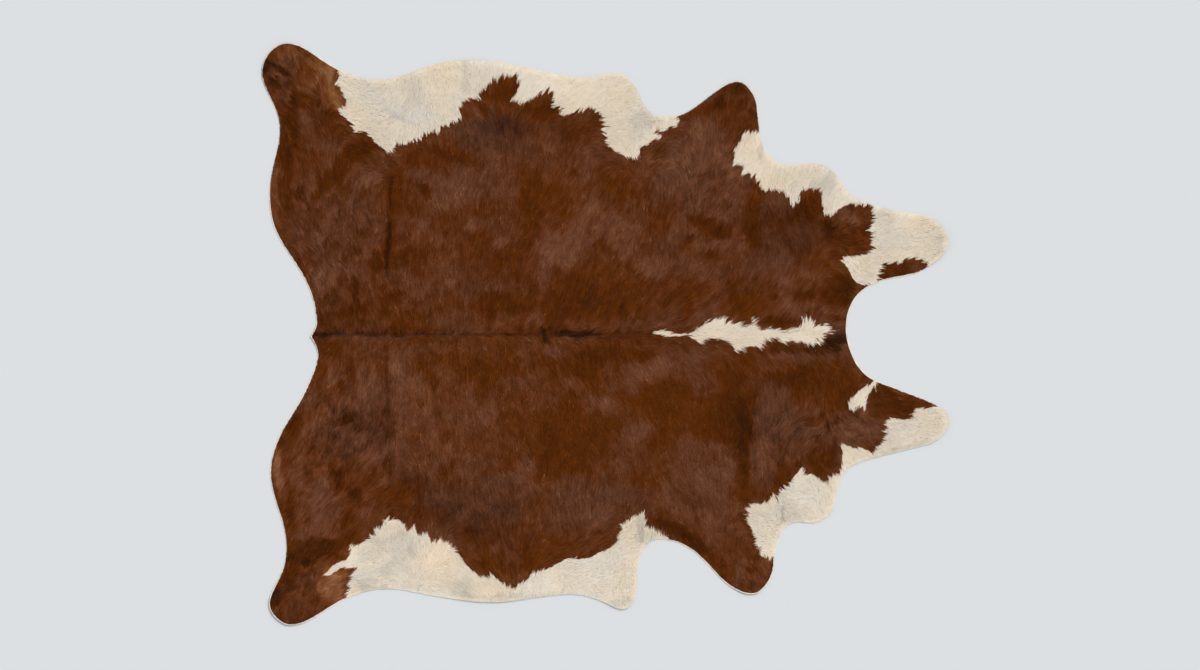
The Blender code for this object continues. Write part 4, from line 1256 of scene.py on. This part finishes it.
def make_hide():
    """The leather: one closed sheet, napped below and haired above."""
    ring = RING.copy()
    n = len(ring)
    out = ring_normals(ring)
    nick = noise(0.035, 51, 2)(ring[:, 0], ring[:, 1])
    ring = ring + out * (0.0007 * nick)[:, None]

    x, y = lattice(FIELD_STEP, 0.12, 52)
    keep = EDGE(x, y) > 0.012
    x, y = x[keep], y[keep]
    near = np.abs(whiteness(x, y)) < 0.020
    fx, fy = lattice(MARK_STEP, 0.10, 53)
    close = (EDGE(fx, fy) > 0.010) & (np.abs(whiteness(fx, fy)) < 0.014)
    x, y = np.concatenate([x[~near], fx[close]]), np.concatenate([y[~near], fy[close]])
    shoulder = ring - out * 0.0012
    inner = ring - out * 0.0036
    co, tri = skin(shoulder, inner, np.stack([x, y], 1))
    edge = np.maximum(EDGE(co[:, 0], co[:, 1]), 0)
    wear = noise(0.012, 54, 2)(co[:, 0], co[:, 1])
    top_z = (curl(co[:, 0], co[:, 1]) + LEATHER
             - 0.35 * press(co[:, 0], co[:, 1]) + 0.00012 * wear * smooth(0.0, 0.01, edge))
    top = np.column_stack([co, top_z])
    top_tri = tri

    x, y = lattice(UNDER_STEP, 0.10, 55)
    keep = EDGE(x, y) > 0.018
    co, tri = skin(ring - out * 0.0008, ring - out * 0.010, np.stack([x[keep], y[keep]], 1))
    under = np.column_stack([co, curl(co[:, 0], co[:, 1])])
    under_tri = tri[:, ::-1] + len(top)

    lift = curl(ring[:, 0], ring[:, 1])
    high = np.column_stack([ring, lift + LEATHER - 0.0004])
    low = np.column_stack([ring, lift + 0.0004])
    base = len(top) + len(under)
    i = np.arange(n)
    j = (i + 1) % n
    rows = [i, base + i, base + n + i, len(top) + i]
    nexts = [j, base + j, base + n + j, len(top) + j]
    wall = []
    for a, b, c, d in zip(rows, nexts, rows[1:], nexts[1:]):
        wall.append(np.stack([a, b, d], 1))
        wall.append(np.stack([a, d, c], 1))
    wall = np.concatenate(wall)
    co = np.concatenate([top, under, high, low])
    # the ring runs clockwise, so walls made in its order face outwards
    faces = np.concatenate([top_tri, under_tri, wall])
    mesh = new_mesh("hide", co, faces)
    band = np.where((top_tri < 2 * n).all(1), 2, 0)
    kind = np.concatenate([band, np.ones(len(under_tri)), np.full(len(wall), 3)]).astype(np.int32)
    mesh.polygons.foreach_set("material_index", np.minimum(kind, 2))

    # layout: hair side left, flesh side right, cut edge along the top
    flat = co[:, :2]
    u = (flat[:, 0] + 1.2) / 2.4 * 0.49
    v = (flat[:, 1] + 1.02) / 2.04 * 0.94
    uv = np.stack([u[faces], v[faces]], 2)
    uv[kind == 1, :, 0] += 0.505
    m = len(wall) // 6
    along = np.zeros(len(co))
    level = np.zeros(len(co))
    for row, h in zip(rows, (0.0, 0.3, 0.7, 1.0)):
        along[row] = i / n
        level[row] = h
    wu = along[wall]
    wrap = (wu.max(1) - wu.min(1)) > 0.5
    wu[wrap] = np.where(wu[wrap] < 0.5, wu[wrap] + 1.0, wu[wrap])
    uv[kind == 3, :, 0] = wu * n / (n + 1) * 0.996 + 0.002
    uv[kind == 3, :, 1] = 0.955 + 0.040 * level[wall]
    set_uv(mesh, uv.reshape(-1, 2))

    deep = whiteness(co[:, 0], co[:, 1])
    tone, hue = coat_colour(co[:, 0], co[:, 1], deep > 0)
    # the hair side of the leather is darker than the hair over it: painted shade under the coat
    bare = np.where(deep > 0, tone - 0.045, tone - 0.12)
    set_value(mesh, "tone", np.clip(bare, 0.04, 1.0))
    set_value(mesh, "warmth", np.clip(hue - 0.1, 0.05, 0.95))
    return mesh


def lock_zone(x, y, white):
    """Hair length by place."""
    length = 0.0140 + 0.0015 * MOTTLE_BIG(x, y)
    length = np.where(white, 0.0170, length)
    for _, cx, cy, reach, change in LENGTHS:
        c = on_hide((cx, cy))
        length = length + change / 1000 * soft(np.hypot(x - c[0], y - c[1]) / (reach / 1000))
    return length


def loose_hair(x, y):
    """Where white and brown hairs lie mixed, 0 to 1."""
    most = np.zeros(np.shape(x))
    for _, x0, y0, x1, y1, half in MIXED:
        a, b = on_hide((x0, y0)), on_hide((x1, y1))
        ab = b - a
        t = np.clip(((x - a[0]) * ab[0] + (y - a[1]) * ab[1]) / (ab @ ab), 0, 1)
        most = np.maximum(most, soft(np.hypot(x - a[0] - ab[0] * t, y - a[1] - ab[1] * t) / (half / 1000)))
    return most


def bare_rim(x, y):
    """Where the pale cut shows beside the hair, 0 to 1."""
    most = np.zeros(np.shape(x))
    for _, cx, cy, reach, amount in BARE_RIM:
        c = on_hide((cx, cy))
        most = np.maximum(most, amount * (1 - smooth(0.7, 1.1, np.hypot(x - c[0], y - c[1]) / (reach / 1000))))
    return most


def make_coat():
    """Combed hair locks in layers, shortest and darkest first, the deeper layers darkened with painted shade."""
    area = 3.2424
    cell = math.sqrt(area / LOCKS)
    meshes = []
    rng = np.random.default_rng(71)
    xs = np.arange(-1.17, 1.17, cell)
    ys = np.arange(-0.99, 0.99, cell)
    gx, gy = np.meshgrid(xs, ys)
    x = gx.ravel() + rng.uniform(0, cell, gx.size)
    y = gy.ravel() + rng.uniform(0, cell, gx.size)
    bare = 0.0010 + 0.0008 * noise(0.05, 72, 2)(x, y)
    keep = EDGE(x, y) > bare + 0.0032 * bare_rim(x, y)
    x, y = x[keep], y[keep]
    n = len(x)
    layer = rng.integers(0, LAYERS, n)
    high_layer = layer / (LAYERS - 1)

    fx, fy = flow(x, y)
    tuft = TUFTS(x, y)
    spread = rng.normal(0, 1, n)
    angle = np.radians(7.5 * spread + 4.5 * tuft)
    ca, sa = np.cos(angle), np.sin(angle)
    fx, fy = fx * ca - fy * sa, fx * sa + fy * ca

    first = whiteness(x, y) > 0
    length = lock_zone(x, y, first) * rng.uniform(0.78, 1.22, n) * (0.80 + 0.25 * high_layer)

    # the colour is the one charted at the lock's middle, shifted tuft by tuft
    loose = loose_hair(x, y)
    shift = (0.45 * length + (0.0050 + 0.0015 * loose) * tuft + 0.0022 * FINE(x, y)
             + rng.normal(0, 1, n) * (0.0010 + 0.0022 * loose))
    mx, my = x + fx * shift, y + fy * shift
    deep = whiteness(mx, my)
    white = deep + rng.normal(0, 1, n) * (0.0009 + 0.0012 * loose) > 0

    edge = EDGE(x, y)
    tip_edge = EDGE(x + fx * length, y + fy * length)
    limit = np.where(white, -rng.uniform(0.0002, OVERHANG, n), rng.uniform(-0.0008, 0.0012, n))
    limit = limit + np.where(white, 0.0004, 0.0048) * bare_rim(x, y)
    short = tip_edge < limit
    ratio = np.where(short, (edge - limit) / np.maximum(edge - tip_edge, 1e-6), 1.0)
    length = np.maximum(length * np.clip(ratio, 0.12, 1.0), 0.0015)

    tx, ty = x + fx * length, y + fy * length
    lift = curl(x, y) + LEATHER - 0.35 * press(x, y)
    tip_lift = curl(tx, ty) + LEATHER - 0.35 * press(tx, ty)
    full = coat_height(x, y, edge)
    tip_full = coat_height(tx, ty, EDGE(tx, ty)) + 0.35 * press(tx, ty)
    lay = 0.42 + 0.50 * high_layer
    ridge = 0.00042 * TUFTS(tx, ty) + 0.00025 * BROAD(tx, ty)
    over = smooth(0.0, 0.012, np.maximum(edge, 0))
    tip_z = tip_lift + tip_full * lay + ridge * over + rng.normal(0, 0.00028, n) * over * np.where(white, 0.6, 1.0)
    root_z = lift + np.clip(full * lay * 0.32, 0.0002, 0.0012) + rng.uniform(0, 0.0003, n)
    tip_z = np.maximum(tip_z, tip_lift + 0.0005)

    half = rng.uniform(0.00085, 0.00135, n) * (1.30 - 0.30 * high_layer)
    rise = half * rng.uniform(0.35, 0.75, n) * np.where(first, 0.6, 1.0)
    nx, ny = -fy, fx
    co = np.empty((n, 4, 3), np.float32)
    co[:, 0] = np.stack([x + nx * half, y + ny * half, root_z], 1)
    co[:, 1] = np.stack([x, y, root_z + rise], 1)
    co[:, 2] = np.stack([x - nx * half, y - ny * half, root_z], 1)
    co[:, 3] = np.stack([tx, ty, tip_z], 1)

    tone, hue = coat_colour(mx, my, white)
    tone = tone + rng.normal(0, 1, n) * np.where(white, 0.008, 0.025)
    # deeper layers are darker: painted shade under the upper layers
    tone = tone - (1 - high_layer) * np.where(white, 0.010, 0.042)
    hue = hue + rng.normal(0, 0.08, n)
    # a few mixed hairs beside each change of colour
    stray = (np.abs(deep) < 0.009) & (rng.random(n) < 0.10)
    tone = np.where(stray & white, tone - 0.06, tone)
    # and a scatter of bleached tips over the brown
    bleached = (rng.random(n) < 0.0035) & ~white & (high_layer > 0.4)
    tone = np.where(bleached, tone + 0.17, tone)
    # each lock runs from a darker root, painted shade under the locks lying over it, to a lighter tip
    root_tone = np.where(white, np.clip(tone - 0.014, 0.725, 0.992), np.clip(tone - 0.045, 0.004, 0.650))
    tip_tone = np.where(white, np.clip(tone + 0.008, 0.735, 0.998), np.clip(tone + 0.022, 0.010, 0.665))
    hue = np.clip(hue, 0.010, 0.990)

    for k in range(LAYERS):
        pick = layer == k
        m = int(pick.sum())
        first_index = (np.arange(m) * 4)[:, None]
        left = first_index + np.array((0, 1, 3))
        right = first_index + np.array((1, 2, 3))
        faces = np.concatenate([left[:, None], right[:, None]], 1).reshape(-1, 3)
        r, t, h = root_tone[pick], tip_tone[pick], hue[pick]
        uv = np.empty((m, 2, 3, 2), np.float32)
        uv[:, :, 0, 0] = r[:, None]
        uv[:, :, 1, 0] = r[:, None]
        uv[:, :, 2, 0] = t[:, None]
        uv[:, 0, 0, 1], uv[:, 0, 1, 1], uv[:, 0, 2, 1] = h - 0.006, h, h
        uv[:, 1, 0, 1], uv[:, 1, 1, 1], uv[:, 1, 2, 1] = h, h + 0.006, h
        mesh = new_mesh(f"coat_layer_{k + 1}", co[pick].reshape(-1, 3), faces)
        set_uv(mesh, uv.reshape(-1, 2))
        meshes.append(mesh)
    return meshes


# -------------------------------------------------------------- materials
def srgb(text):
    """A colour as linear numbers, given so or in hexadecimal."""
    if not isinstance(text, str):
        return (*text, 1.0)
    out = []
    for k in (0, 2, 4):
        c = int(text[k:k + 2], 16) / 255
        out.append(c / 12.92 if c <= 0.04045 else ((c + 0.055) / 1.055) ** 2.4)
    return (*out, 1.0)


def ramp(tree, stops, source):
    node = tree.nodes.new("ShaderNodeValToRGB")
    node.color_ramp.interpolation = "LINEAR"
    points = node.color_ramp.elements
    while len(points) > 1:
        points.remove(points[-1])
    points[0].position, points[0].color = stops[0][0], srgb(stops[0][1])
    for at, colour in stops[1:]:
        points.new(at).color = srgb(colour)
    tree.links.new(source, node.inputs["Fac"])
    return node.outputs["Color"]


def mix(tree, factor, a, b, kind="MIX"):
    node = tree.nodes.new("ShaderNodeMix")
    node.data_type = "RGBA"
    node.blend_type = kind
    for socket, value in ((node.inputs[0], factor), (node.inputs[6], a), (node.inputs[7], b)):
        if isinstance(value, bpy.types.NodeSocket):
            tree.links.new(value, socket)
        else:
            socket.default_value = value
    return node.outputs[2]


def noise_node(tree, vector, scale, detail=3.0, roughness=0.55):
    node = tree.nodes.new("ShaderNodeTexNoise")
    node.inputs["Scale"].default_value = scale
    node.inputs["Detail"].default_value = detail
    node.inputs["Roughness"].default_value = roughness
    tree.links.new(vector, node.inputs["Vector"])
    return node.outputs["Fac"]


def spread(tree, value, low, high):
    node = tree.nodes.new("ShaderNodeMapRange")
    node.inputs["To Min"].default_value = low
    node.inputs["To Max"].default_value = high
    tree.links.new(value, node.inputs["Value"])
    return node.outputs["Result"]


def blank(name):
    mat = bpy.data.materials.new(name)
    mat.use_nodes = True
    tree = mat.node_tree
    shader = tree.nodes["Principled BSDF"]
    place_node = tree.nodes.new("ShaderNodeTexCoord")
    return mat, tree, shader, place_node.outputs["Object"]


def bump(tree, shader, height, strength, distance):
    node = tree.nodes.new("ShaderNodeBump")
    node.inputs["Strength"].default_value = strength
    node.inputs["Distance"].default_value = distance
    tree.links.new(height, node.inputs["Height"])
    tree.links.new(node.outputs["Normal"], shader.inputs["Normal"])


def palette(tree, tone, warmth):
    """Hair colour from its tone, 0 dark brown to 1 cream, and its warmth; low warmth gives painted sheen in the
    browns.
    """
    cool = ramp(tree, SHEEN_BROWN_GREY_WHITE_HAIR, tone)
    warm = ramp(tree, WARM_HAIR, tone)
    return mix(tree, warmth, cool, warm)


def hair_material():
    mat, tree, shader, where = blank("combed_hair")
    uv = tree.nodes.new("ShaderNodeUVMap")
    uv.uv_map = "OFBake"
    parts = tree.nodes.new("ShaderNodeSeparateXYZ")
    tree.links.new(uv.outputs["UV"], parts.inputs["Vector"])
    tree.links.new(palette(tree, parts.outputs["X"], parts.outputs["Y"]), shader.inputs["Base Color"])
    gloss = noise_node(tree, where, 900.0, 2.0)
    tree.links.new(spread(tree, gloss, 0.48, 0.68), shader.inputs["Roughness"])
    bump(tree, shader, noise_node(tree, where, 2600.0, 2.0), 0.25, 0.0003)
    shader.inputs["Specular IOR Level"].default_value = 0.10
    shader.inputs["Specular Tint"].default_value = (1.0, 0.55, 0.22, 1.0)
    return mat


def under_hair_material():
    mat, tree, shader, where = blank("under_hair")
    tone = tree.nodes.new("ShaderNodeAttribute")
    tone.attribute_name = "tone"
    warmth = tree.nodes.new("ShaderNodeAttribute")
    warmth.attribute_name = "warmth"
    base = palette(tree, tone.outputs["Fac"], warmth.outputs["Fac"])
    speck = noise_node(tree, where, 420.0, 4.0)
    dim = ramp(tree, ((0.30, "9a9a9a"), (0.70, "ffffff")), speck)
    tree.links.new(mix(tree, 1.0, base, dim, "MULTIPLY"), shader.inputs["Base Color"])
    tree.links.new(spread(tree, speck, 0.60, 0.85), shader.inputs["Roughness"])
    bump(tree, shader, noise_node(tree, where, 1100.0, 4.0), 0.6, 0.0006)
    return mat


def flesh_material():
    """The napped underside of the skin."""
    mat, tree, shader, where = blank("napped_skin")
    cloud = noise_node(tree, where, 9.0, 5.0)
    nap = noise_node(tree, where, 700.0, 4.0, 0.65)
    base = ramp(tree, ((0.30, "b9a88f"), (0.52, "cbbca5"), (0.72, "d8ccb8")), cloud)
    dim = ramp(tree, ((0.25, "c8c8c8"), (0.75, "ffffff")), nap)
    tree.links.new(mix(tree, 1.0, base, dim, "MULTIPLY"), shader.inputs["Base Color"])
    tree.links.new(spread(tree, nap, 0.80, 0.98), shader.inputs["Roughness"])
    bump(tree, shader, nap, 0.5, 0.0005)
    shader.inputs["Sheen Weight"].default_value = 0.15
    shader.inputs["Sheen Roughness"].default_value = 0.6
    return mat


def cut_material():
    """The knife-cut edge, where the pale middle of the skin shows."""
    mat, tree, shader, where = blank("cut_edge")
    fibre = noise_node(tree, where, 1500.0, 4.0, 0.7)
    run = noise_node(tree, where, 45.0, 4.0)
    base = ramp(tree, ((0.30, "d2c3ad"), (0.50, "ebdfcd"), (0.70, "f8f0e3")), run)
    dim = ramp(tree, ((0.25, "d8d8d8"), (0.70, "ffffff")), fibre)
    tree.links.new(mix(tree, 1.0, base, dim, "MULTIPLY"), shader.inputs["Base Color"])
    tree.links.new(spread(tree, fibre, 0.70, 0.92), shader.inputs["Roughness"])
    bump(tree, shader, fibre, 0.5, 0.0003)
    return mat


def floor_material():
    mat, tree, shader, where = blank("studio_floor")
    shader.inputs["Base Color"].default_value = FLOOR
    grain = noise_node(tree, where, 60.0, 3.0)
    tree.links.new(spread(tree, grain, 0.86, 0.94), shader.inputs["Roughness"])
    shader.inputs["Specular IOR Level"].default_value = 0.15
    return mat


# ------------------------------------------------------------------ build
hide = place(make_hide())
for made in (under_hair_material(), flesh_material(), cut_material()):
    hide.data.materials.append(made)
hide.data.shade_smooth()
hide.data.set_sharp_from_angle(angle=math.radians(40))

hair = hair_material()
coat = []
for mesh in make_coat():
    mesh.materials.append(hair)
    mesh.shade_smooth()
    coat.append(place(mesh))

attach(hide, "root")
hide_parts("cowhide")
for piece in coat:
    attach(piece, "root")
    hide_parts("cowhide")

# ----------------------------------------------------------------- studio
ground = bpy.data.meshes.new("floor")
ground.from_pydata([(-60, -60, -0.0003), (60, -60, -0.0003), (60, 60, -0.0003), (-60, 60, -0.0003)],
                   [], [(0, 1, 2, 3)])
floor = bpy.data.objects.new("floor", ground)
bpy.context.scene.collection.objects.link(floor)
floor.data.materials.append(floor_material())

world = bpy.data.worlds.new("studio")
world.use_nodes = True
world.node_tree.nodes["Background"].inputs["Color"].default_value = (0.93, 0.965, 1.0, 1.0)
world.node_tree.nodes["Background"].inputs["Strength"].default_value = FILL
bpy.context.scene.world = world

key = bpy.data.lights.new("key", "SUN")
key.angle = math.radians(22)
key.energy = KEY
key.color = (1.0, 0.985, 0.965)
lamp = bpy.data.objects.new("key", key)
lamp.location = (2.6, 3.0, 4.4)
lamp.rotation_euler = (math.atan2(math.hypot(2.6, 3.0), 4.4), 0.0, math.atan2(3.0, 2.6) + math.pi / 2)
bpy.context.scene.collection.objects.link(lamp)

lens = bpy.data.cameras.new("camera")
lens.lens = 85
lens.sensor_width = 36
lens.clip_end = 200
camera = bpy.data.objects.new("camera", lens)
camera.location = (-0.0181, -0.0031, 9.49)
camera.rotation_euler = (0.0, 0.0, 0.0)
bpy.context.scene.collection.objects.link(camera)
bpy.context.scene.camera = camera
bpy.context.scene.view_settings.view_transform = "Standard"
bpy.context.scene.view_settings.look = "None"
